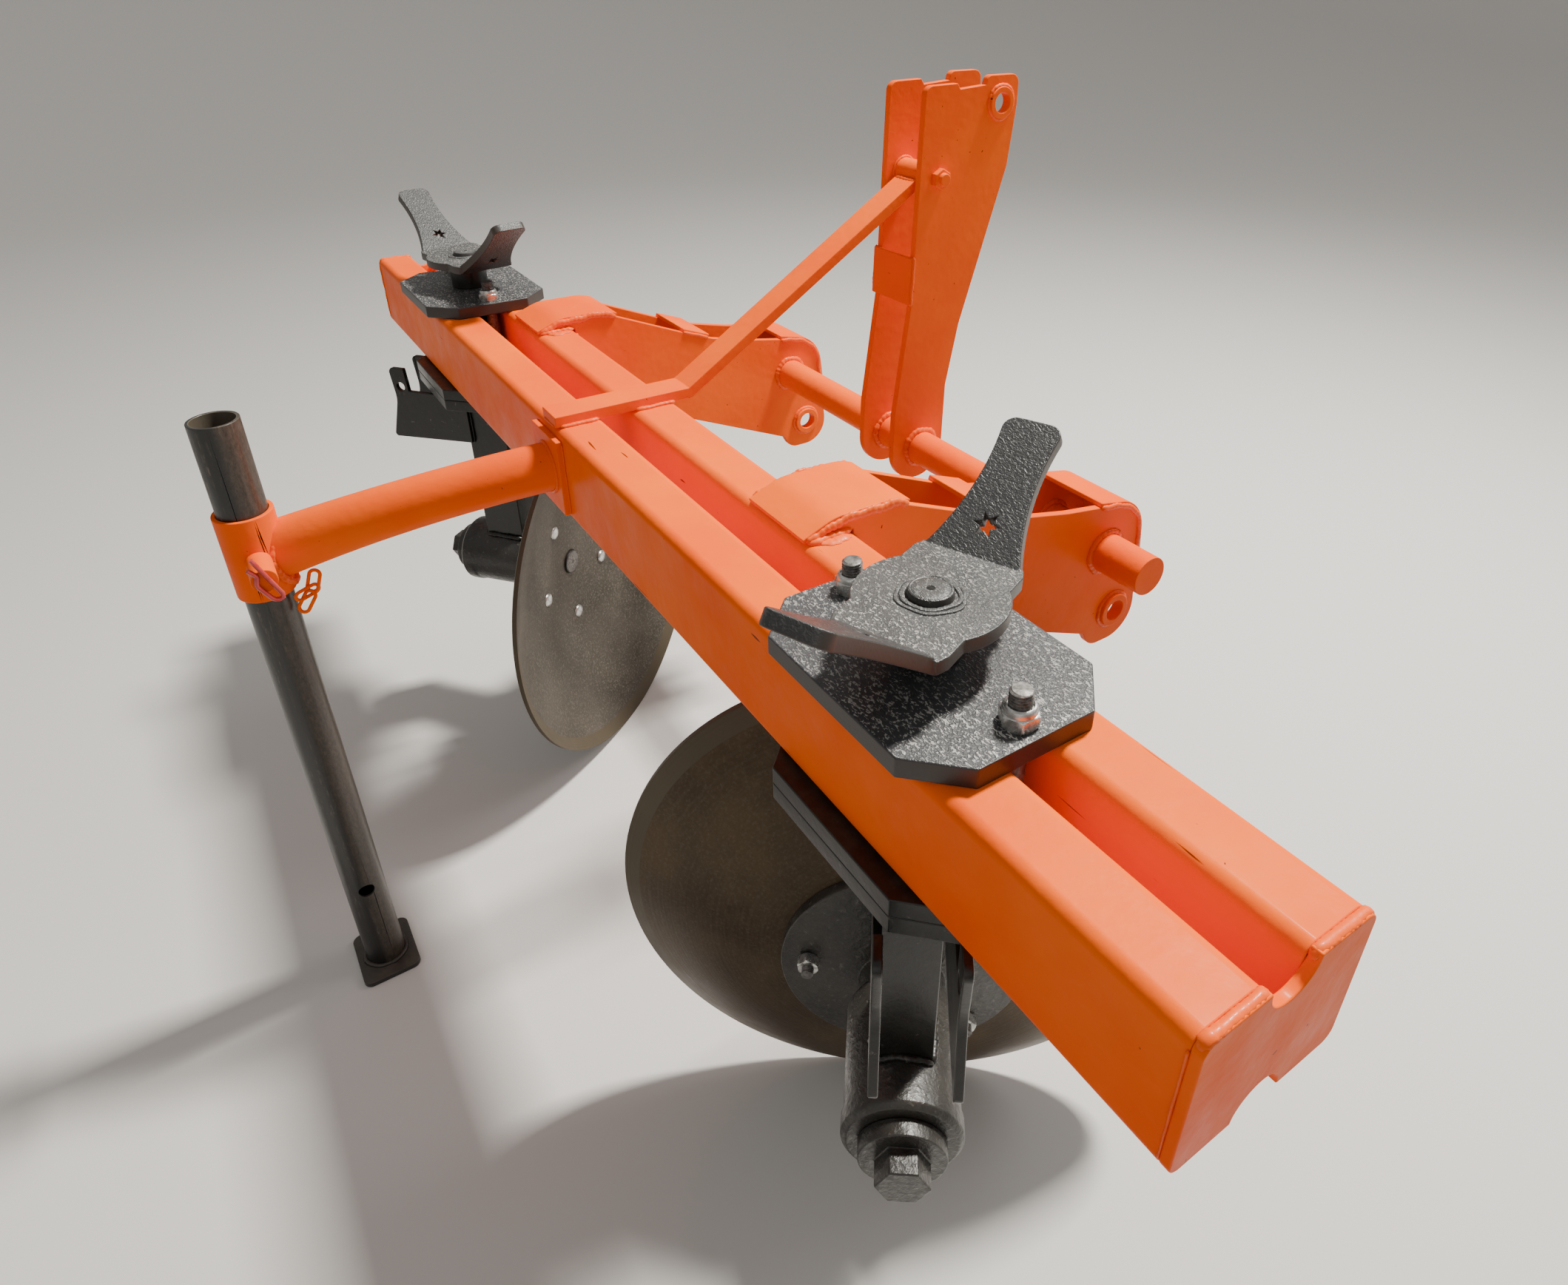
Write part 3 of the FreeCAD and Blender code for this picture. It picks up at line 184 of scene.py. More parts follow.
def rough_skin(tree, shader, height, depth, before=None):
    """Bumps from a height map, depth in metres, on top of the bumps before."""
    values = {"Height": height, "Distance": depth, "Strength": 1.0}
    if before is not None:
        values["Normal"] = before
    skin = add(tree, "Bump", values).outputs["Normal"]
    tree.links.new(skin, shader.inputs["Normal"])
    return skin


def stretched(tree, place, scale, turn=(0, 0, 0)):
    """The place with each direction scaled, so that a pattern on it becomes long and thin."""
    return add(tree, "Mapping", {"Vector": place, "Scale": scale, "Rotation": turn}).outputs["Vector"]


def product(tree, first, second):
    """Two values multiplied."""
    return add(tree, "Math", {0: first, 1: second}, operation="MULTIPLY").outputs[0]


def orange_gloss(name, fresh, faded, peel, dusty=0.16, gloss=0.05):
    """Orange paint: two tones in blotches, fine dust, a few dark scratches, and an orange-peel skin."""
    material, tree, shader, place = finish(name, 0.36, coat=0.4 * gloss, coat_roughness=0.12)
    shader.inputs["Specular IOR Level"].default_value = gloss
    blotch = ramp(tree, grain(tree, place, 3.2, 4, 0.6), 0.38, 0.68)
    colour = blend(tree, blotch, fresh, faded)
    dust = ramp(tree, grain(tree, place, 46, 6, 0.75), 0.56, 0.78, 0, dusty)
    colour = blend(tree, dust, colour, [min(1, 1.15 * part + 0.012) for part in faded])
    thin = stretched(tree, place, (14, 150, 150), (0, 0, 0.3))
    scratch = ramp(tree, grain(tree, thin, 1.0, 1, 0.4, 0.4), 0.79, 0.81)
    chip = ramp(tree, grain(tree, place, 120, 2, 0.5, 0.6), 0.775, 0.80)
    marks = add(tree, "Math", {0: scratch, 1: chip}, operation="MAXIMUM").outputs[0]
    colour = blend(tree, marks, colour, [0.2 * part for part in fresh])
    tree.links.new(colour, shader.inputs["Base Color"])
    tree.links.new(ramp(tree, grain(tree, place, 21, 4), 0.3, 0.7, 0.34, 0.52), shader.inputs["Roughness"])
    first = rough_skin(tree, shader, grain(tree, place, 85, 2, 0.4), peel)
    rough_skin(tree, shader, grain(tree, place, 420, 2, 0.6), 0.00006, before=first)
    return material


orange = orange_gloss("orange_gloss", (0.82, 0.088, 0.001), (0.90, 0.14, 0.004), 0.0005)


def eased(name, material, edge=0.0012):
    """The CAD node's own form with its triangles joined, its flat faces whole and its edges rounded."""
    form = bmesh.new()
    form.from_mesh(nodes[name].data)
    bmesh.ops.remove_doubles(form, verts=form.verts, dist=0.00002)
    bmesh.ops.dissolve_limit(form, angle_limit=math.radians(0.3), verts=form.verts, edges=form.edges)
    mesh = bpy.data.meshes.new(name + "_form")
    form.to_mesh(mesh)
    form.free()
    mesh.shade_smooth()
    mesh.materials.append(material)
    piece = bpy.data.objects.new(name + "_form", mesh)
    bpy.context.scene.collection.objects.link(piece)
    rounding = piece.modifiers.new("edges", "BEVEL")
    rounding.width = edge
    rounding.segments = 2
    rounding.limit_method = "ANGLE"
    rounding.angle_limit = math.radians(28)
    rounding.use_clamp_overlap = False
    flatness = piece.modifiers.new("flat_faces", "WEIGHTED_NORMAL")
    flatness.weight = 100
    flatness.keep_sharp = True
    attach(piece, nodes[name]["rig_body"])
    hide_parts(name)


for name in ("front_tube", "rear_tube"):
    eased(name, orange)

# End plates: one flame-cut plate welded over both tube ends, with bites between the tubes. A thin
# bead runs down each tube's outer side and a thick one along its top edge, all flooded with paint.
SHIFT, UNDER = -71, 717
TUBE_TALL = 120
TUBES = (
    # rear side, outer side
    (18.5, 78.5),
    (-78.5, -78.5),
)
PLATE_FACE = 932
UP, RIGHT, AHEAD = (0, 0, 1), (1, 0, 0), (0, 1, 0)


def set_down(points):
    """Points in millimetres from the toolbar's middle and underside, moved to the frame in metres."""
    return (np.asarray(points, float) + (0, SHIFT, UNDER)) / 1000


def route(corners, bends):
    """A path of straight runs with an arc at each bent corner: its tangents meet the runs at the
    radius times the tangent of half the turn, and the arc is split about every 3 millimetres."""
    corners = [np.array(corner, float) for corner in corners]
    path = []
    for index, corner in enumerate(corners):
        if index not in bends:
            path.append(corner[None])
            continue
        back = corners[index - 1] - corner
        ahead = corners[index + 1] - corner
        back /= np.linalg.norm(back)
        ahead /= np.linalg.norm(ahead)
        half = math.acos(np.clip(-back @ ahead, -1, 1)) / 2
        run = bends[index] * math.tan(half)
        middle = corner + (back + ahead) / np.linalg.norm(back + ahead) * bends[index] / math.cos(half)
        first = corner + back * run - middle
        side = -back
        steps = max(3, int(2 * half * bends[index] / 3))
        angle = np.linspace(0, 2 * half, steps)[:, None]
        path.append(middle + first * np.cos(angle) + side * bends[index] * np.sin(angle))
    return np.concatenate(path)


def circle(centre, radius, first, second, start=0.0, sweep=2 * math.pi, count=48):
    """Points on a circle: the centre plus the radius along the first and second direction, times the
    cosine and sine of an angle."""
    angle = start + np.linspace(0, sweep, count)[:, None]
    return np.array(centre) + radius * (np.cos(angle) * np.array(first) + np.sin(angle) * np.array(second))


def tube(line, across, normal, size, sides, flat=1.0):
    """Rings on a line in millimetres: each point plus the size times the cosine of an angle along the
    normal, flattened, and its sine across."""
    angle = once_round(sides)
    size = np.broadcast_to(size, len(line))
    rings = (line[:, None] + size[:, None, None]
             * (flat * np.cos(angle)[None, :, None] * normal[:, None]
                + np.sin(angle)[None, :, None] * across[:, None]))
    return set_down(rings)


BEAD_STEP = 2.0
BEAD_SIDES = 8
draws = np.random.default_rng(41)


def bead(path, radius, up, pitch=5.0, flat=0.75, wander=0.9):
    """A weld bead along a path in millimetres: rings whose radius swells once per pitch with the
    sine's size, drifts slowly, and shrinks to almost nothing at both ends, on a line that wanders."""
    path = np.asarray(path, float)
    gone = np.concatenate([[0], np.cumsum(np.linalg.norm(np.diff(path, axis=0), axis=1))])
    along = np.linspace(0, gone[-1], max(6, int(gone[-1] / BEAD_STEP)))
    line = np.stack([np.interp(along, gone, path[:, axis]) for axis in range(3)], -1)
    ahead = np.gradient(line, axis=0)
    ahead /= np.linalg.norm(ahead, axis=1)[:, None]
    across = np.cross(ahead, np.broadcast_to(np.array(up, float), ahead.shape))
    across /= np.linalg.norm(across, axis=1)[:, None] + 1e-9
    normal = np.cross(across, ahead)
    phase = draws.uniform(0, 6.28, 6)
    drift = sum(np.sin(along / length + phase[i]) for i, length in enumerate((3.7, 7.9, 17.0))) / 3
    sway = sum(np.sin(along / length + phase[i + 3]) for i, length in enumerate((4.3, 9.1, 23.0))) / 3
    ripple = 0.78 + 0.22 * np.abs(np.sin(math.pi * along / pitch + 0.8 * drift))
    ends = np.clip(np.minimum(along, gone[-1] - along) / (1.2 * radius), 0, 1) ** 0.5
    size = radius * ripple * (1 + 0.16 * drift) * (0.05 + 0.95 * ends)
    line = line + across * (wander * sway)[:, None]
    return tube(line, across, normal, size, BEAD_SIDES, flat)


def built(name, parts, body, materials, sharp=35, closed=False):
    """One piece made of grids of rings: quads between the rings, and a fan over each end or, on a
    closed piece, quads from the last ring back to the first."""
    points = []
    faces = []
    slots = []
    for grid, slot in parts:
        first = sum(len(part) for part in points)
        rows, count = grid.shape[:2]
        corners = rows * count
        points.append(grid.reshape(-1, 3))
        if closed:
            made = (first + ring_faces(rows + 1, count) % corners).tolist()
        else:
            points += [grid[:1].mean(1), grid[-1:].mean(1)]
            column = np.arange(count)
            after = (column + 1) % count
            last = corners - count
            made = (first + ring_faces(rows, count)).tolist()
            for hub, one, other in ((corners, after, column), (corners + 1, last + column, last + after)):
                made += (first + np.stack([np.full(count, hub), one, other], -1)).tolist()
        faces += made
        slots += [slot] * len(made)
    mesh = bpy.data.meshes.new(name)
    mesh.from_pydata(np.concatenate(points).tolist(), [], faces)
    for material in materials:
        mesh.materials.append(material)
    mesh.polygons.foreach_set("material_index", slots)
    mesh.shade_smooth()
    mesh.set_sharp_from_angle(angle=math.radians(sharp))
    mesh.update()
    piece = bpy.data.objects.new(name, mesh)
    bpy.context.scene.collection.objects.link(piece)
    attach(piece, body)
    return piece


def welds(name, beads, body, material):
    """All the weld beads of one group of pieces, in one mesh."""
    return built(name, [(grid, 0) for grid in beads], body, [material], sharp=80)


flooded = orange_gloss("flooded_weld", (0.78, 0.08, 0.001), (0.86, 0.12, 0.004), 0.0011, 0.1, 0.16)
for name in ("end_plate_right", "end_plate_left"):
    eased(name, orange)
end_beads = []
for end, inward in ((PLATE_FACE, -1), (-PLATE_FACE, 1)):
    for rear, outer in TUBES:
        x = end + inward * 0.6
        seam = [(x, outer, 10), (x, outer, TUBE_TALL - 10)]
        end_beads.append(bead(seam, 1.7, RIGHT, 5, 0.6, 0.6))
        x = end - inward * 3.6
        over = [(x, rear + 1.5, 112), (x, rear + 5, 119.2), (x, rear + 55, 119.2), (x, rear + 58.5, 112)]
        end_beads.append(bead(route(over, {1: 5, 2: 5}), 4.4, UP, 5, 0.55, 0.5))
welds("end_plate_welds", end_beads, "frame", flooded)

# Hitch arms: two flame-cut plates each, set over the front tube and joined by bent straps. They
# carry the cross shaft and the link bushes. Thick ragged beads run along the straps' edges, round
# the shaft and the bushes, and where the plates stand on the tube.
ARM_MIDDLES = {"right": 350, "left": -390}
ARM_HALF = 52
# places in the upright plane along the implement: forward, up
SHAFT = (459, -30)
LINK_BORE = (490, -126)
SHAFT_RING, RING_SWEEP = 26.5, 6.6
for side in ARM_MIDDLES:
    for part in ("outer_plate", "inner_plate", "rear_cap", "nose_cap", "tie"):
        eased("%s_arm_%s" % (side, part), orange)
arm_beads = []
for side, middle in ARM_MIDDLES.items():
    for x, out in ((middle + ARM_HALF, 1), (middle - ARM_HALF, -1)):
        # the left clamp slides to within 5 mm of its arm, so the welds there are small
        tight = (side, out) == ("left", -1)
        size, stray = (3.2, 0.4) if tight else (5.4, 2.4)
        edge = x + out * 0.5
        rear = route([(edge, 24, 120.8), (edge, 58, 134), (edge, 130, 134), (edge, 146, 127.4)],
                     {1: 60, 2: 70})
        arm_beads.append(bead(rear + (0, 0, 0.5), size, RIGHT, 7, 0.65, stray))
        nose = route([(edge, 441, 35.6), (edge, 514, 20), (edge, 524.4, -64)], {1: 52})
        arm_beads.append(bead(nose, 4.0, RIGHT, 6, 0.65, 1.6))
        for step in (out * 0.4 * size, -out * 12.2):
            foot = [(x + step, 24, 121.4), (x + step, 76, 121.4)]
            arm_beads.append(bead(foot, size, UP, 8, 0.75, stray))
            front = [(x + step, 79.8, 114), (x + step, 79.8, 12)]
            arm_beads.append(bead(front, 4.0, AHEAD, 6, 0.7, 1.2))
        if not tight:
            puddle = [(x + out * 5, 32, 121), (x + out * 11, 48, 120.4), (x + out * 8, 70, 120.6)]
            arm_beads.append(bead(puddle, 7.0, UP, 9, 0.32, 3.5))
        for face in (x + out * 0.6, x - out * 10.6):
            ring = circle((face, *SHAFT), SHAFT_RING, AHEAD, UP, draws.uniform(0, 6), RING_SWEEP, 60)
            arm_beads.append(bead(ring, 5.2, RIGHT, 7, 0.8, 1.8))
        bush = circle((x + out * 0.4, *LINK_BORE), 24, AHEAD, UP, draws.uniform(0, 6), RING_SWEEP, 50)
        arm_beads.append(bead(bush, 3.6, RIGHT, 6, 0.8, 0.9))
    for x in (middle - 52.4, middle + 52.4):
        arm_beads.append(bead([(x, 257, 82), (x, 302, 65.4)], 2.8, RIGHT, 5, 0.7, 0.8))
welds("arm_welds", arm_beads, "frame", flooded)

# Cross shaft: one thick round steel bar through both arms and the mast, welded to each plate that
# it passes and painted with the frame.
eased("cross_shaft", orange, 0.0008)

# Mast: two tapered plates on the cross shaft, joined by a strap behind and a spacer tube, with
# the top link bushes welded into their front corners.
for name in ("mast_plate_right", "mast_plate_left", "mast_rear_strap", "mast_spacer", "mast_bolt"):
    eased(name, orange)
MAST_OUTER = ((33.5, 1), (-51.5, -1))
MAST_INNER = ((23.5, -1), (-41.5, 1))
TOP_LINK = (567, 443)
SPACER = (468, 356)
mast_beads = []
for x, out in (MAST_OUTER[0], MAST_INNER[0], MAST_INNER[1], MAST_OUTER[1]):
    ring = circle((x + out * 0.6, *SHAFT), SHAFT_RING, AHEAD, UP, draws.uniform(0, 6), RING_SWEEP, 60)
    mast_beads.append(bead(ring, 5.6, RIGHT, 7, 0.8, 1.8))
for x, out in MAST_OUTER:
    bush = circle((x + out * 0.4, *TOP_LINK), 20.8, AHEAD, UP, draws.uniform(0, 6), RING_SWEEP, 46)
    mast_beads.append(bead(bush, 3.2, RIGHT, 6, 0.8, 0.8))
    strap = [(x + out * 0.6, 429.5, 190), (x + out * 0.6, 431.8, 258)]
    mast_beads.append(bead(strap, 3.2, RIGHT, 6, 0.7, 0.8))
for x, out in MAST_INNER:
    ring = circle((x + out * 0.8, *SPACER), 17.8, AHEAD, UP, draws.uniform(0, 6), RING_SWEEP, 44)
    mast_beads.append(bead(ring, 2.4, RIGHT, 5, 0.8, 0.5))
welds("mast_welds", mast_beads, "frame", flooded)

# Brace: a flat steel bar laid across both tubes and bent up to the mast's spacer. It is welded along
# its sides on each tube, at its rear end and above and below its front end.
BRACE_LEFT, BRACE_RIGHT = -34.0, 9.0
eased("brace", orange)
brace_beads = []
for x in (BRACE_RIGHT + 1, BRACE_LEFT - 1):
    for rear, front in ((-73, -24), (24, 77)):
        brace_beads.append(bead([(x, rear, 121.2), (x, front, 121.2)], 3.6, UP, 6, 0.8, 1.2))
rear_end = [(BRACE_LEFT + 3, -77.9, 121), (BRACE_RIGHT - 3, -77.9, 121)]
brace_beads.append(bead(rear_end, 2.4, UP, 6, 0.8, 0.4))
for y, height, size in ((448.5, 350, 3.4), (455, 340, 3.0)):
    front_end = [(BRACE_LEFT, y, height), (BRACE_RIGHT, y, height)]
    brace_beads.append(bead(front_end, size, UP, 6, 0.9, 1.0))
welds("brace_welds", brace_beads, "frame", flooded)

# Parking stand, fixed part: a pad plate on the rear tube, a bent pipe and a collar, all of steel,
# welded together and painted orange, with the cross pin that holds the sliding part.
for name in ("stand_pad", "stand_collar", "stand_pin"):
    eased(name, orange, 0.0008 if name == "stand_pin" else 0.0012)
STAND = np.array((-118.0, -415.0, 0.0))
BOOM_START = np.array((-18.0, -86.5, 62.0))
BOOM_END = np.array((-118.0, -415.0, -9.0))
BOOM_TURN, BOOM_ROUND, BOOM_FLARE = math.radians(9), 30.6, 7.0
COLLAR_TOUCH, COLLAR_WELD = 31.5, 33.2
PAD_FACE, PAD_LEFT, PAD_RIGHT, PAD_LOW, PAD_HIGH = -79.4, -60, 24, 11, 106


def boom_rings(rows=60, count=56):
    """The bent pipe: rings along an arc that turns by 9 degrees downward, round at the pad and pressed
    to a tall oval near the collar, with its last rings wrapped on the collar's round side."""
    chord = BOOM_END - BOOM_START
    length = np.linalg.norm(chord)
    chord /= length
    flat_way = chord * (1, 1, 0) / np.linalg.norm(chord * (1, 1, 0))
    normal = np.cross(np.cross(chord, UP), chord)
    normal /= np.linalg.norm(normal)
    share = np.linspace(-0.04, 1, rows)
    half = BOOM_TURN / 2
    bend_radius = length / 2 / math.sin(half)
    angle = (2 * share - 1) * half
    line = (BOOM_START + np.outer(length / 2 + bend_radius * np.sin(angle), chord)
            + np.outer(bend_radius * (np.cos(angle) - math.cos(half)), normal))
    ahead = np.outer(np.cos(angle), chord) - np.outer(np.sin(angle), normal)
    side = np.cross(flat_way, UP)
    raised = np.cross(side, ahead)
    around = once_round(count)
    press = BOOM_FLARE * np.maximum(share, 0)[:, None] ** 2.5
    aside = (BOOM_ROUND - press) * np.cos(around)
    rings = (line[:, None] + aside[..., None] * side
             + ((BOOM_ROUND + press) * np.sin(around))[..., None] * raised[:, None])
    inside = np.sqrt(np.maximum(COLLAR_TOUCH ** 2 - aside ** 2, 0))
    stop = (STAND * (1, 1, 0) @ flat_way) - inside
    over = np.maximum(rings[..., :2] @ flat_way[:2] - stop, 0)
    return rings - over[..., None] * flat_way


boom = built("stand_boom_form", [(set_down(boom_rings())[:, ::-1], 0)], "frame", [orange])
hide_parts("stand_boom")
stand_beads = []
pad_edge = [(PAD_LEFT, PAD_FACE, PAD_HIGH), (PAD_LEFT, PAD_FACE, PAD_LOW),
            (PAD_RIGHT, PAD_FACE, PAD_LOW), (PAD_RIGHT, PAD_FACE, PAD_HIGH)]
stand_beads.append(bead(route(pad_edge, {1: 5, 2: 5}), 2.0, AHEAD, 6, 0.6, 0.5))
pipe_foot = circle(BOOM_START + (0, -0.5, 0), BOOM_ROUND + 0.9, RIGHT, UP, 0, 6.5, 60)
stand_beads.append(bead(pipe_foot, 2.8, AHEAD, 6, 0.9, 0.8))
leaving = (BOOM_START - BOOM_END) * (1, 1, 0)
leaving /= np.linalg.norm(leaving)
beside = np.cross(leaving, UP)
around = np.linspace(0, 2 * math.pi + 0.2, 70)[:, None]
offset = (BOOM_ROUND - BOOM_FLARE + 1) * np.cos(around)
saddle = (BOOM_END + leaving * np.sqrt(COLLAR_WELD ** 2 - offset ** 2) + beside * offset
          + np.array(UP) * ((BOOM_ROUND + BOOM_FLARE) * np.sin(around)))
stand_beads.append(bead(saddle, 5.0, leaving, 8, 0.9, 1.6))
welds("stand_welds", stand_beads, "frame", flooded)

# Pin clip: one sprung steel wire in chipped dark red paint, pushed through the thick end of the
# cross pin and bent round under it.
clip_paint, tree, shader, place = finish("clip_paint", 0.4, coat=0.3)
tone = ramp(tree, grain(tree, place, 90, 3), 0.35, 0.65)
tree.links.new(blend(tree, tone, (0.4, 0.018, 0.02), (0.52, 0.045, 0.045)), shader.inputs["Base Color"])
rough_skin(tree, shader, grain(tree, place, 500), 0.0001)


def wire(path, radius, sides=10):
    """A round wire along a path that keeps near one upright plane: rings square to the path at every
    point, each of them drawn from a direction near that plane's normal."""
    path = np.asarray(path, float)
    ahead = np.gradient(path, axis=0)
    ahead /= np.linalg.norm(ahead, axis=1)[:, None]
    across = np.cross(ahead, np.array((1.0, 0.13, 0.07)))
    across /= np.linalg.norm(across, axis=1)[:, None]
    return tube(path, across, np.cross(across, ahead), radius, sides)


CLIP_X, CLIP_ROUND = -35.6, 2.7
leg = route([(CLIP_X, -422, 30), (CLIP_X, -399, -27), (CLIP_X, -411, -26), (CLIP_X, -424, -3),
             (CLIP_X, -421, 9), (CLIP_X, -428, 18)], {1: 4.5, 2: 8, 3: 9, 4: 5})
built("stand_clip", [(wire(leg, CLIP_ROUND), 0)], "frame", [clip_paint])

# Chain: three oval links of round steel wire that hang from the bent pipe beside the cross pin, and
# were painted with the frame.
LINK_LONG, LINK_WIDE, LINK_THICK = 14.0, 6.0, 2.2


def chain_link(centre, long_way, wide_way):
    """The middle line of an oval link: a circle as wide as the link, with its two halves moved apart
    by the rest of the link's length."""
    angle = once_round(40)
    run = LINK_WIDE * np.cos(angle) + (LINK_LONG - LINK_WIDE) * np.sign(np.cos(angle))
    return np.array(centre) + run[:, None] * long_way + (LINK_WIDE * np.sin(angle))[:, None] * wide_way


def closed_wire(path, radius, sides=9):
    """A round wire along a closed path: rings square to the path at every point, each of them drawn
    from the direction that leads away from the middle of the loop."""
    path = np.asarray(path, float)
    ahead = np.roll(path, -1, axis=0) - np.roll(path, 1, axis=0)
    ahead /= np.linalg.norm(ahead, axis=1)[:, None]
    normal = path - path.mean(0)
    normal -= (normal * ahead).sum(1)[:, None] * ahead
    normal /= np.linalg.norm(normal, axis=1)[:, None]
    return tube(path, np.cross(ahead, normal), normal, radius, sides)


LINKS = (
    # centre, long direction, wide direction
    ((-100, -366, -50), (0.05, -0.35, -0.94), (0.35, 0.9, -0.27)),
    ((-98, -376, -62), (0.2, -0.95, -0.2), (0.1, 0.1, 0.99)),
    ((-96, -379, -73), (0.1, -0.6, -0.79), (0.5, 0.7, -0.5)),
)
link_parts = []
for centre, long_way, wide_way in LINKS:
    long_way = np.array(long_way) / np.linalg.norm(long_way)
    wide_way = np.array(wide_way) - (np.array(wide_way) @ long_way) * long_way
    wide_way /= np.linalg.norm(wide_way)
    link_parts.append((closed_wire(chain_link(centre, long_way, wide_way), LINK_THICK), 0))
built("stand_chain", link_parts, "frame", [orange], closed=True)

# Stand pipe: a plain steel pipe in thin dark paint that slides in the collar. It is streaked and
# scuffed along its length, speckled brown on the side toward the toolbar with painted sunlight over
# dust specks, and rusty inside.
PIPE_INSIDE = 0.0236
pipe_paint, tree, shader, place = finish("pipe_paint", 0.42)
stand_spot = set_down(STAND)
flat = add(tree, "VectorMath", {0: place, 1: (*stand_spot[:2], 0)}, operation="SUBTRACT").outputs[0]
flat = add(tree, "VectorMath", {0: flat, 1: (1, 1, 0)}, operation="MULTIPLY").outputs[0]
away = add(tree, "VectorMath", {0: flat}, operation="LENGTH").outputs["Value"]
streak = ramp(tree, grain(tree, stretched(tree, place, (140, 140, 12)), 1.0, 4, 0.65), 0.52, 0.74)
scuff = ramp(tree, grain(tree, stretched(tree, place, (260, 260, 90)), 1.0, 4, 0.7), 0.5, 0.62)
colour = blend(tree, streak, (0.012, 0.012, 0.011), (0.04, 0.036, 0.031))
colour = blend(tree, product(tree, streak, scuff), colour, (0.14, 0.11, 0.085))
# painted sunlight with dust specks: speckled brown on the side that faces the toolbar
sunlit_side = add(tree, "VectorMath", {0: flat, 1: (0.6, 0.8, 0)}, operation="DOT_PRODUCT").outputs["Value"]
speck = ramp(tree, grain(tree, stretched(tree, place, (300, 300, 150)), 1.0, 5, 0.75), 0.42, 0.66, 0.35, 1)
colour = blend(tree, product(tree, ramp(tree, sunlit_side, 0.011, 0.0165), speck), colour, (0.065, 0.05, 0.037))
rust = ramp(tree, away, PIPE_INSIDE, PIPE_INSIDE + 0.0006, 1, 0)
colour = blend(tree, rust, colour, (0.075, 0.062, 0.046))
tree.links.new(colour, shader.inputs["Base Color"])
tree.links.new(ramp(tree, streak, 0, 1, 0.36, 0.6), shader.inputs["Roughness"])
rough_skin(tree, shader, grain(tree, place, 320, 3), 0.00015)
eased("stand_pipe", pipe_paint, 0.0008)

# Stand foot: a small square steel plate in black paint, welded under the pipe and covered with the
# dust of the ground.
FOOT_TOP = 8.6
dusty_black, tree, shader, place = finish("dusty_black", 0.5, coat=0.1)
upward = add(tree, "SeparateXYZ", {0: add(tree, "NewGeometry").outputs["Normal"]}).outputs[2]
level = ramp(tree, upward, 0.3, 0.95)
dust = product(tree, level, ramp(tree, grain(tree, place, 24, 6, 0.7), 0.34, 0.62, 0.15, 0.9))
colour = blend(tree, dust, (0.016, 0.015, 0.013), (0.075, 0.063, 0.05))
tree.links.new(colour, shader.inputs["Base Color"])
tree.links.new(ramp(tree, dust, 0, 1, 0.4, 0.85), shader.inputs["Roughness"])
rough_skin(tree, shader, grain(tree, place, 260, 4), 0.0002)
eased("stand_foot", dusty_black)
foot_ring = circle(STAND + (0, 0, FOOT_TOP - UNDER), 28.6, RIGHT, AHEAD, 0, 6.5, 60)
welds("foot_weld", [bead(foot_ring, 3.8, UP, 6, 0.9, 0.8)], "stand", dusty_black)

# Clamps: flame-cut plates above and below the tubes, in black paint over hammered scale, with painted
# glints as short bright dashes on the flat faces, and bare brown cut edges.
CLAMPS = {"right": 614, "left": -600}


def hammered(name, dark, bright, edge, glint_low, dusted=0.0):
    """Black paint over rough plate: painted glints as short bright dashes and dust on the level faces, and
    plain dark edges."""
    material, tree, shader, place = finish(name, 0.45, coat=0.05, coat_roughness=0.25)
    upward = add(tree, "SeparateXYZ", {0: add(tree, "NewGeometry").outputs["Normal"]}).outputs[2]
    facing = add(tree, "Math", {0: upward}, operation="ABSOLUTE").outputs[0]
    face = ramp(tree, facing, 0.45, 0.6)
    long_way = stretched(tree, place, (270, 520, 390), (0, 0, 0.5))
    hammer_bump_and_glint = grain(tree, long_way, 1.0, 1.5, 0.5, 0.9)
    region = ramp(tree, grain(tree, place, 8, 4, 0.6), 0.3, 0.6, 0.25, 1)
    # painted glints: bright dashes on the flat faces where the hammered bumps would catch the light
    painted_glint = product(tree, ramp(tree, hammer_bump_and_glint, glint_low, glint_low + 0.05), product(tree, region, face))
    cloud = ramp(tree, grain(tree, place, 5, 3, 0.6), 0.35, 0.65)
    base = blend(tree, cloud, dark, [1.8 * part for part in dark])
    colour = blend(tree, face, edge, base)
    # the painted glints are full on faces that look straight up and faint on tilted ones, such as the
    # handle wings
    level = ramp(tree, upward, 0.9, 0.98, 0.14, 1)
    colour = blend(tree, product(tree, painted_glint, level), colour, bright)
    cover = ramp(tree, grain(tree, place, 40, 5, 0.7), 0.35, 0.65, 0.4 * dusted, dusted)
    colour = blend(tree, product(tree, ramp(tree, upward, 0.9, 0.98), cover), colour, bright)
    tree.links.new(colour, shader.inputs["Base Color"])
    tree.links.new(ramp(tree, painted_glint, 0, 1, 0.46, 0.3), shader.inputs["Roughness"])
    deep = rough_skin(tree, shader, product(tree, hammer_bump_and_glint, face), 0.0008)
    rough_skin(tree, shader, grain(tree, place, 380, 3), 0.00012, before=deep)
    return material


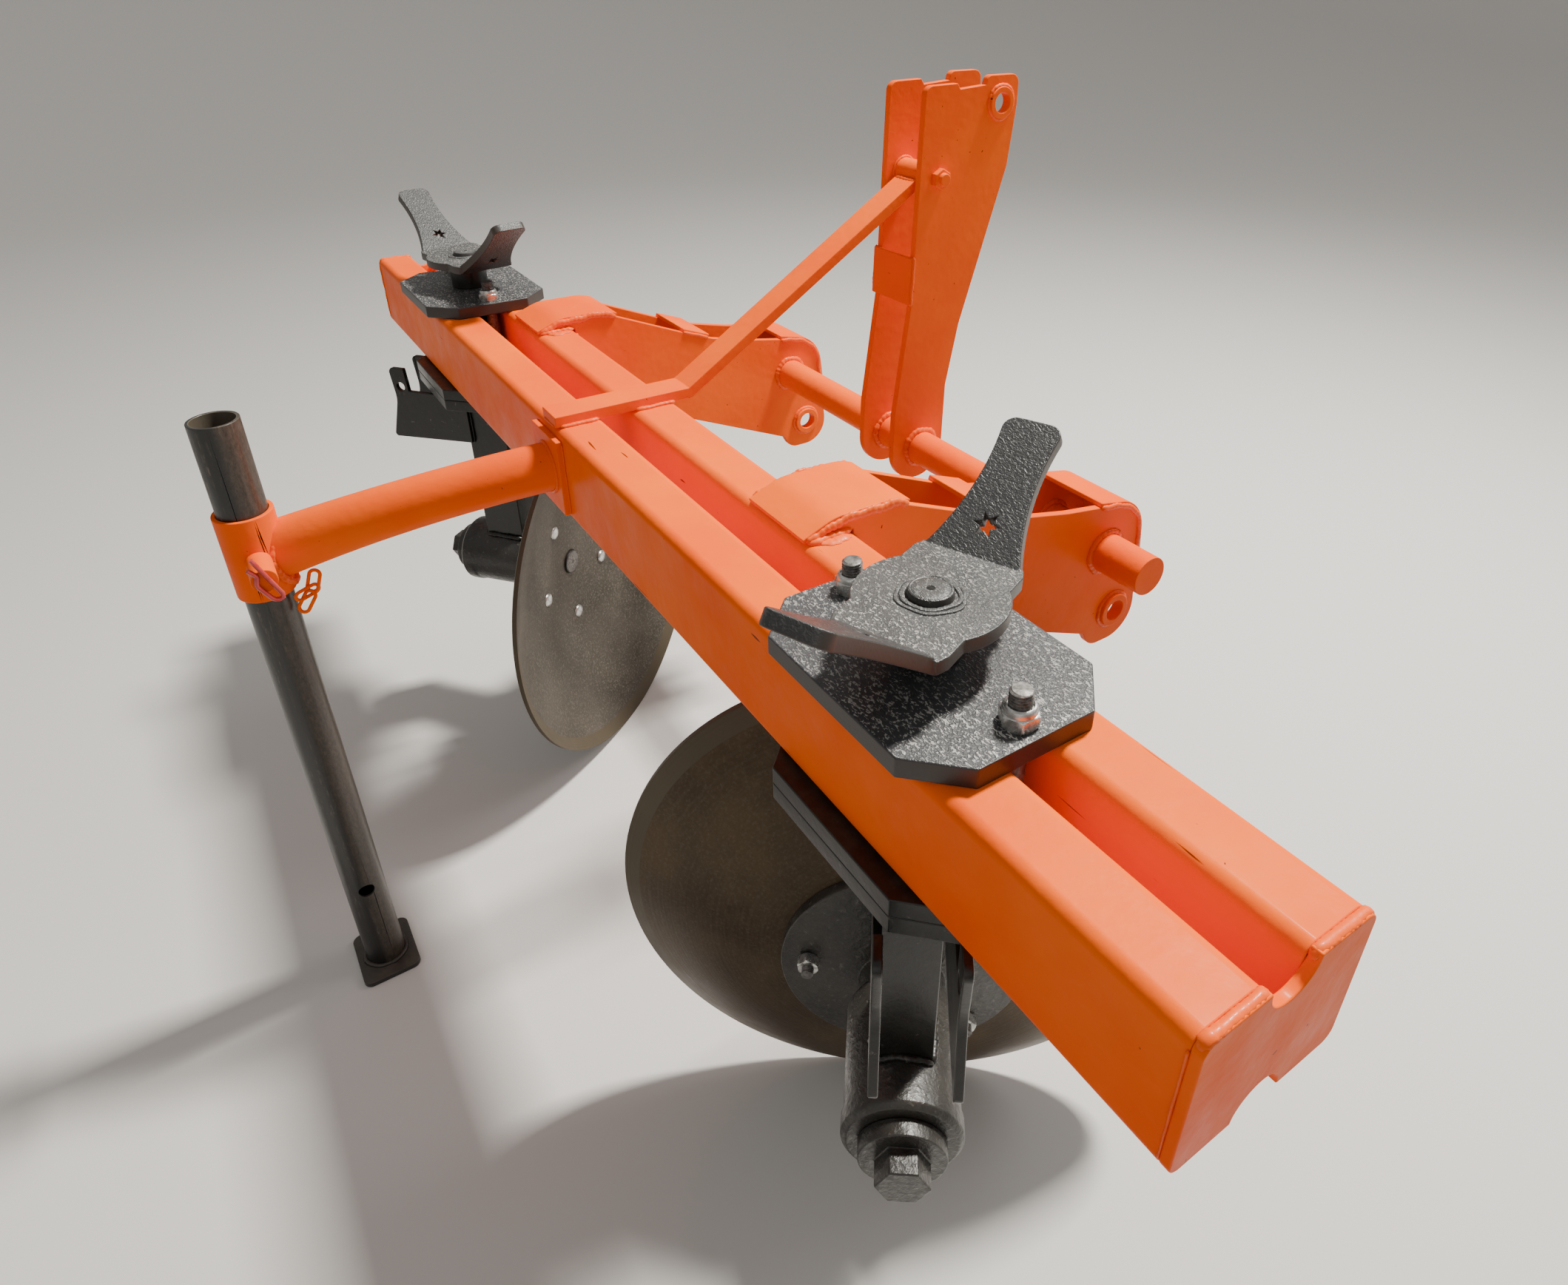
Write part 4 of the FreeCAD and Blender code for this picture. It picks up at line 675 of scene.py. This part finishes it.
# colours: dark paint, painted glint and dust, cut edge; then the glint threshold and the dust share
clamp_black = hammered("hammered_clamp_painted_glints", (0.022, 0.023, 0.026), (0.4, 0.39, 0.37),
                       (0.03, 0.024, 0.02), 0.57, 0.04)
plain_black, tree, shader, place = finish("black_gloss", 0.32, coat=0.1, coat_roughness=0.15)
shader.inputs["Specular IOR Level"].default_value = 0.35
upward = add(tree, "SeparateXYZ", {0: add(tree, "NewGeometry").outputs["Normal"]}).outputs[2]
dust = product(tree, ramp(tree, upward, 0.2, 0.9, 0.25, 1),
               ramp(tree, grain(tree, place, 30, 6, 0.75), 0.42, 0.72, 0, 0.75))
worn = ramp(tree, grain(tree, place, 110, 4, 0.6, 0.5), 0.66, 0.72, 0, 0.5)
colour = blend(tree, dust, (0.008, 0.008, 0.007), (0.04, 0.034, 0.025))
colour = blend(tree, worn, colour, (0.12, 0.11, 0.1))
tree.links.new(colour, shader.inputs["Base Color"])
tree.links.new(ramp(tree, dust, 0, 1, 0.28, 0.7), shader.inputs["Roughness"])
first = rough_skin(tree, shader, grain(tree, place, 70, 3), 0.0004)
rough_skin(tree, shader, grain(tree, place, 420, 3), 0.0001, before=first)
for side in CLAMPS:
    eased(side + "_clamp_top_plate", clamp_black, 0.0016)
    for level in ("lower_plate", "base_plate"):
        eased("%s_clamp_%s" % (side, level), plain_black, 0.0014)

# Clamp bolts: M18 bolts up through the plates in the gap between the tubes, with zinc lock nuts
# whose round collars hold a nylon ring, and dull grey thread above them.
zinc, tree, shader, place = finish("bright_zinc", 0.3, metallic=0.85)
tone = ramp(tree, grain(tree, place, 120, 4), 0.35, 0.65)
tree.links.new(blend(tree, tone, (0.36, 0.36, 0.345), (0.66, 0.66, 0.64)), shader.inputs["Base Color"])
tree.links.new(ramp(tree, grain(tree, place, 300, 3), 0.3, 0.7, 0.22, 0.42), shader.inputs["Roughness"])
rough_skin(tree, shader, grain(tree, place, 520, 2), 0.00006)
grey_thread, tree, shader, place = finish("grey_thread", 0.45, metallic=0.5)
tone = ramp(tree, grain(tree, place, 260, 4), 0.35, 0.65)
tree.links.new(blend(tree, tone, (0.07, 0.066, 0.06), (0.19, 0.18, 0.17)), shader.inputs["Base Color"])
rough_skin(tree, shader, grain(tree, place, 600, 2), 0.00008)


def upright_rings(centre, radius, height, angle):
    """Rings about an upright axis: the radius along the cosine and the sine of the angle, at each
    row's height."""
    ring = np.stack([np.cos(angle), np.sin(angle), np.zeros(len(angle))], -1)
    return np.array(centre) + radius[..., None] * ring + height[:, None, None] * np.array(UP)


def lathe(centre, profile, count=40):
    """Rings about an upright axis, one for each (radius, height) of the profile."""
    radius, height = np.array(profile, float).T
    return upright_rings(centre, radius[:, None], height, once_round(count))


def hexagon(centre, flats, low, high, chamfer=1.4, turn=0.0, count=72):
    """A hexagon with chamfered corners: the radius at an angle is half the width across flats over
    the cosine of the angle from the nearest flat, and never more than a cone at both ends."""
    height = np.array([low, low, low + chamfer / 2, low + chamfer, (low + high) / 2,
                       high - chamfer, high - chamfer / 2, high, high])
    angle = once_round(count)
    flat_turn = (angle + turn + math.pi / 6) % (math.pi / 3) - math.pi / 6
    corner = flats / 2 / np.cos(flat_turn)
    cone = flats / 2 * 0.96 + 1.73 * np.minimum(height - low, high - height)
    radius = np.minimum(corner[None], cone[:, None])
    radius[[0, -1]] *= 0.6
    return upright_rings(centre, radius, height, angle)


def thread(centre, radius, low, high, pitch=2.5, depth=1.35, count=30):
    """A screw thread: the radius dips with the cosine of the height in pitches less the angle."""
    height = np.linspace(low, high, int((high - low) / 0.32))
    angle = once_round(count)
    wave = 0.5 + 0.5 * np.cos(2 * math.pi * height[:, None] / pitch - angle[None])
    end = np.clip((high - height) / 1.2, 0, 1)[:, None]
    size = (radius - depth * wave) * (0.9 + 0.1 * end)
    return upright_rings(centre, size, height, angle)


NUT_LOW, NUT_HIGH, BOLT_HIGH = 138, 149.5, 167
HEAD_LOW, HEAD_HIGH = -48, -36
BOLT_ROUND, BOLT_FLATS, BOLT_STEP = 8.9, 27, 102
NUT_COLLAR = (
    # radius, height above the nut's flats
    (10, -0.5), (12.9, -0.4), (12.9, 2.4), (12.3, 4.2), (11.3, 5.3), (10.2, 5.7), (9.6, 5.0), (9.4, 3.5),
)
WASHER = ((9.3, -0.3), (13.3, -0.3), (13.3, 0.9), (12.0, 1.1))
for side, middle in CLAMPS.items():
    for where, step in (("outer", 1), ("inner", -1)):
        centre = (middle + math.copysign(BOLT_STEP, middle) * step, 0, 0)
        turn = draws.uniform(0, 1)
        collar = np.array(NUT_COLLAR) + (0, NUT_HIGH)
        washer = np.array(WASHER) + (0, NUT_LOW)
        shank = [(BOLT_ROUND, HEAD_HIGH - 1), (BOLT_ROUND, 60), (BOLT_ROUND, NUT_HIGH)]
        parts = [
            (set_down(hexagon(centre, BOLT_FLATS, NUT_LOW + 0.6, NUT_HIGH, 1.4, turn)), 0),
            (set_down(lathe(centre, collar)), 0),
            (set_down(lathe(centre, washer)), 0),
            (set_down(hexagon(centre, BOLT_FLATS, HEAD_LOW, HEAD_HIGH, 1.6, turn + 0.3)), 0),
            (set_down(thread(centre, BOLT_ROUND, NUT_HIGH, BOLT_HIGH)), 1),
            (set_down(lathe(centre, shank)), 1),
        ]
        name = "%s_clamp_bolt_%s" % (side, where)
        bolt = built(name + "_form", parts, side + "_clamp", [zinc, grey_thread])
        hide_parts(name)

# Handles and stems: a flame-cut steel plate with two bent-up wings, set over the stem's turned end
# and welded to it by two lumpy rings. A turned rim and a centre mark are left in the stem's end.
HANDLE_TOP, STEM_TOP = 188.3, 194.0
STEM_END = (
    # radius, height above the stem's top
    (18.6, -6.0), (18.2, -4.5), (17.9, -1.6), (17.2, -0.2), (16.0, 0.35), (15.2, 0.05),
    (14.6, 0.4), (8.0, 0.45), (3.4, 0.4), (2.8, -0.6), (1.2, -2.4), (0.2, -2.8),
)
HANDLE_WELDS = (
    # radius, size, pitch
    (21.6, 2.6, 5),
    (26.0, 2.1, 7),
)
# colours: dark paint, painted glint and dust, cut edge; then the glint threshold and the dust share
handle_black = hammered("hammered_handle_painted_glints", (0.018, 0.019, 0.020), (0.38, 0.37, 0.35),
                        (0.045, 0.036, 0.03), 0.58, 0.12)
stem_black = hammered("hammered_stem_end_painted_glints", (0.03, 0.03, 0.03), (0.22, 0.22, 0.21),
                      (0.03, 0.027, 0.025), 0.56, 0.15)
for side, middle in CLAMPS.items():
    eased(side + "_handle", handle_black, 0.0012)
    eased(side + "_stem", plain_black, 0.001)
    parts = [(set_down(lathe((middle, 0, STEM_TOP), STEM_END, 56)), 0)]
    for radius, size, pitch in HANDLE_WELDS:
        spot = (middle, 0, HANDLE_TOP + 0.3)
        ring = circle(spot, radius, RIGHT, AHEAD, draws.uniform(0, 6), 6.5, 80)
        parts.append((bead(ring, size, UP, pitch, 0.55, 2.0), 0))
    built(side + "_stem_end", parts, side + "_carrier", [stem_black])

# Standards and ears: a box of steel, deeper than wide, that stands on the hub housing, with two thin
# flame-cut ears behind it for a scraper. All are welded, and in black gloss with dust.
TURNS = {"right": math.radians(53), "left": math.radians(-50)}
HUB_HIGH, HUB_ROUND = -380, 58.5
POST_HALF, POST_HEAD = 29, -51


def swing(side, points):
    """Points of a disc unit, with its axle along the second axis, turned to its side's angle."""
    points = np.asarray(points, float)
    cosine, sine = math.cos(TURNS[side]), math.sin(TURNS[side])
    across = points[..., 0] * cosine - points[..., 1] * sine + CLAMPS[side]
    ahead = points[..., 0] * sine + points[..., 1] * cosine
    return np.stack([across, ahead, points[..., 2]], -1)


for side in CLAMPS:
    for part in ("standard", "ear_right", "ear_left"):
        eased("%s_%s" % (side, part), plain_black, 0.0014)
    post_beads = []
    for x, out in ((28, 1), (-28, -1)):
        height = HUB_HIGH + math.sqrt(HUB_ROUND ** 2 - x * x) + 1.5
        seam = [(x + out * 1.5, -38, height), (x + out * 1.5, 38, height)]
        post_beads.append(bead(swing(side, seam), 5.0, UP, 8, 0.9, 1.4))
    across = np.linspace(-POST_HALF, POST_HALF, 14)
    height = HUB_HIGH + np.sqrt((HUB_ROUND + 0.3) ** 2 - across ** 2) + 1.0
    for y in (-38.6, 38.6):
        curve = np.stack([across, np.full(14, y), height], -1)
        post_beads.append(bead(swing(side, curve), 4.6, UP, 8, 0.9, 1.4))
    head = [(-POST_HALF, -38.5, POST_HEAD), (POST_HALF, -38.5, POST_HEAD), (POST_HALF, 38.5, POST_HEAD),
            (-POST_HALF, 38.5, POST_HEAD), (-POST_HALF, -38.5, POST_HEAD)]
    post_beads.append(bead(swing(side, head), 3.6, UP, 7, 0.9, 1.0))
    for x in (POST_HALF, -POST_HALF):
        ear_seam = [(x, -27, -60), (x, -27, -140)]
        post_beads.append(bead(swing(side, ear_seam), 2.6, AHEAD, 6, 0.9, 0.8))
    welds(side + "_post_welds", post_beads, side + "_carrier", plain_black)

# Hub: a cast housing with a grease lip, a thick cast washer and a nut behind, and a dished cast
# flange in front. All are rough castings in thin black paint, grey on high spots where it is rubbed, with a
# painted highlight on the same spots.
casting, tree, shader, place = finish("black_casting", 0.5, coat=0.1, coat_roughness=0.3)
lumps = grain(tree, place, 150, 3, 0.55, 0.3)
cloud = ramp(tree, grain(tree, place, 16, 4), 0.35, 0.68)
colour = blend(tree, cloud, (0.012, 0.011, 0.010), (0.032, 0.029, 0.024))
# the grey high spots are rubbed paint and a painted highlight together
rubbed_and_highlit_spots = ramp(tree, lumps, 0.62, 0.74, 0, 0.4)
colour = blend(tree, rubbed_and_highlit_spots, colour, (0.16, 0.15, 0.135))
tree.links.new(colour, shader.inputs["Base Color"])
tree.links.new(ramp(tree, lumps, 0.3, 0.7, 0.5, 0.3), shader.inputs["Roughness"])
deep = rough_skin(tree, shader, lumps, 0.0012)
rough_skin(tree, shader, grain(tree, place, 480, 3), 0.00018, before=deep)
for side in CLAMPS:
    eased(side + "_hub_housing", casting, 0.0016)
    eased(side + "_flange", casting, 0.0016)
    eased(side + "_axle_nut", casting, 0.0016)

# Discs: dished spring steel, rolled and oiled, with a ground bevel at the rim. Behind they are darker
# brown, which is painted shade and a painted reflection of brown ground; in front they are lighter dusty
# grey, which is painted light over dust. Five plough bolts with low domed heads hold each disc on its
# flange.
BEVEL_START = 0.3155


def disc_steel(side):
    """Oiled steel that looks along the unit's axle: the place less the hub, times the axle, is the
    distance along it, and what is left of the span is the distance from it."""
    steel, tree, shader, place = finish(side + "_disc_steel", 0.4, metallic=0.35)
    shader.inputs["Specular IOR Level"].default_value = 0.22
    hub = set_down((CLAMPS[side], 0, HUB_HIGH))
    axle = (-math.sin(TURNS[side]), math.cos(TURNS[side]), 0)
    out = add(tree, "VectorMath", {0: place, 1: tuple(hub)}, operation="SUBTRACT").outputs[0]
    share = add(tree, "VectorMath", {0: out, 1: axle}, operation="DOT_PRODUCT").outputs["Value"]
    span = add(tree, "VectorMath", {0: out}, operation="LENGTH").outputs["Value"]
    square = add(tree, "Math", {0: product(tree, span, span), 1: product(tree, share, share)},
                 operation="SUBTRACT").outputs[0]
    far = add(tree, "Math", {0: square}, operation="SQRT").outputs[0]
    cloud = ramp(tree, grain(tree, place, 7, 5, 0.65), 0.36, 0.66)
    # behind: painted shade and a painted reflection of brown ground, darker brown; in front: painted light,
    # lighter grey
    back = blend(tree, cloud, (0.044, 0.028, 0.0145), (0.09, 0.062, 0.034))
    front = blend(tree, cloud, (0.042, 0.036, 0.028), (0.088, 0.077, 0.063))
    normal = add(tree, "NewGeometry").outputs["Normal"]
    facing = add(tree, "VectorMath", {0: normal, 1: axle}, operation="DOT_PRODUCT").outputs["Value"]
    painted_lit_front = ramp(tree, facing, -0.05, 0.05)
    colour = blend(tree, painted_lit_front, back, front)
    speck = ramp(tree, grain(tree, place, 260, 4, 0.7), 0.5, 0.7, 0, 0.6)
    speck = product(tree, speck, ramp(tree, painted_lit_front, 0, 1, 0.3, 1))
    colour = blend(tree, speck, colour, (0.2, 0.18, 0.15))
    rings = add(tree, "TexNoise", {"W": far, "Scale": 240.0, "Detail": 3.0},
                noise_dimensions="1D").outputs["Fac"]
    colour = blend(tree, ramp(tree, rings, 0.45, 0.75, 0, 0.15), colour, (0.1, 0.085, 0.062))
    bevel = ramp(tree, far, BEVEL_START, BEVEL_START + 0.0013)
    colour = blend(tree, bevel, colour, (0.085, 0.068, 0.046))
    tree.links.new(colour, shader.inputs["Base Color"])
    tree.links.new(ramp(tree, cloud, 0, 1, 0.42, 0.58), shader.inputs["Roughness"])
    first = rough_skin(tree, shader, rings, 0.00025)
    rough_skin(tree, shader, grain(tree, place, 340, 3), 0.00012, before=first)
    return steel


def on_axle(side, points):
    """Points drawn with the axle upright, laid along the unit's axle and turned to its side."""
    laid = np.stack([points[..., 0], points[..., 2], -points[..., 1] + HUB_HIGH], -1)
    return set_down(swing(side, laid))


BOLT_TURNS = {"right": -28, "left": -60}
BOLT_COUNT, BOLT_CIRCLE = 5, 105
PLOUGH_HEAD = ((1, 125.6), (6, 125.4), (10.5, 124.4), (12.2, 122.6), (12.6, 120.0))
AXLE_NUB = ((21.5, 105), (21.5, 116), (19.5, 117.4), (4, 117.6), (2.5, 116), (0.3, 115.4))
for side in CLAMPS:
    eased(side + "_disc", disc_steel(side), 0.001)
    parts = []
    for index in range(BOLT_COUNT):
        angle = math.radians(BOLT_TURNS[side] + 360 // BOLT_COUNT * index)
        centre = (BOLT_CIRCLE * math.cos(angle), BOLT_CIRCLE * math.sin(angle), 0)
        parts.append((on_axle(side, lathe(centre, PLOUGH_HEAD, 28))[::-1], 0))
        parts.append((on_axle(side, hexagon(centre, 22, 86, 98.5, 1.2, angle)), 0))
        parts.append((on_axle(side, thread(centre, 6.8, 78, 87, 2.0, 0.8, 24)), 1))
    parts.append((on_axle(side, lathe((0, 0, 0), AXLE_NUB, 40)), 1))
    built(side + "_disc_bolts", parts, side + "_wheel", [zinc, grey_thread])
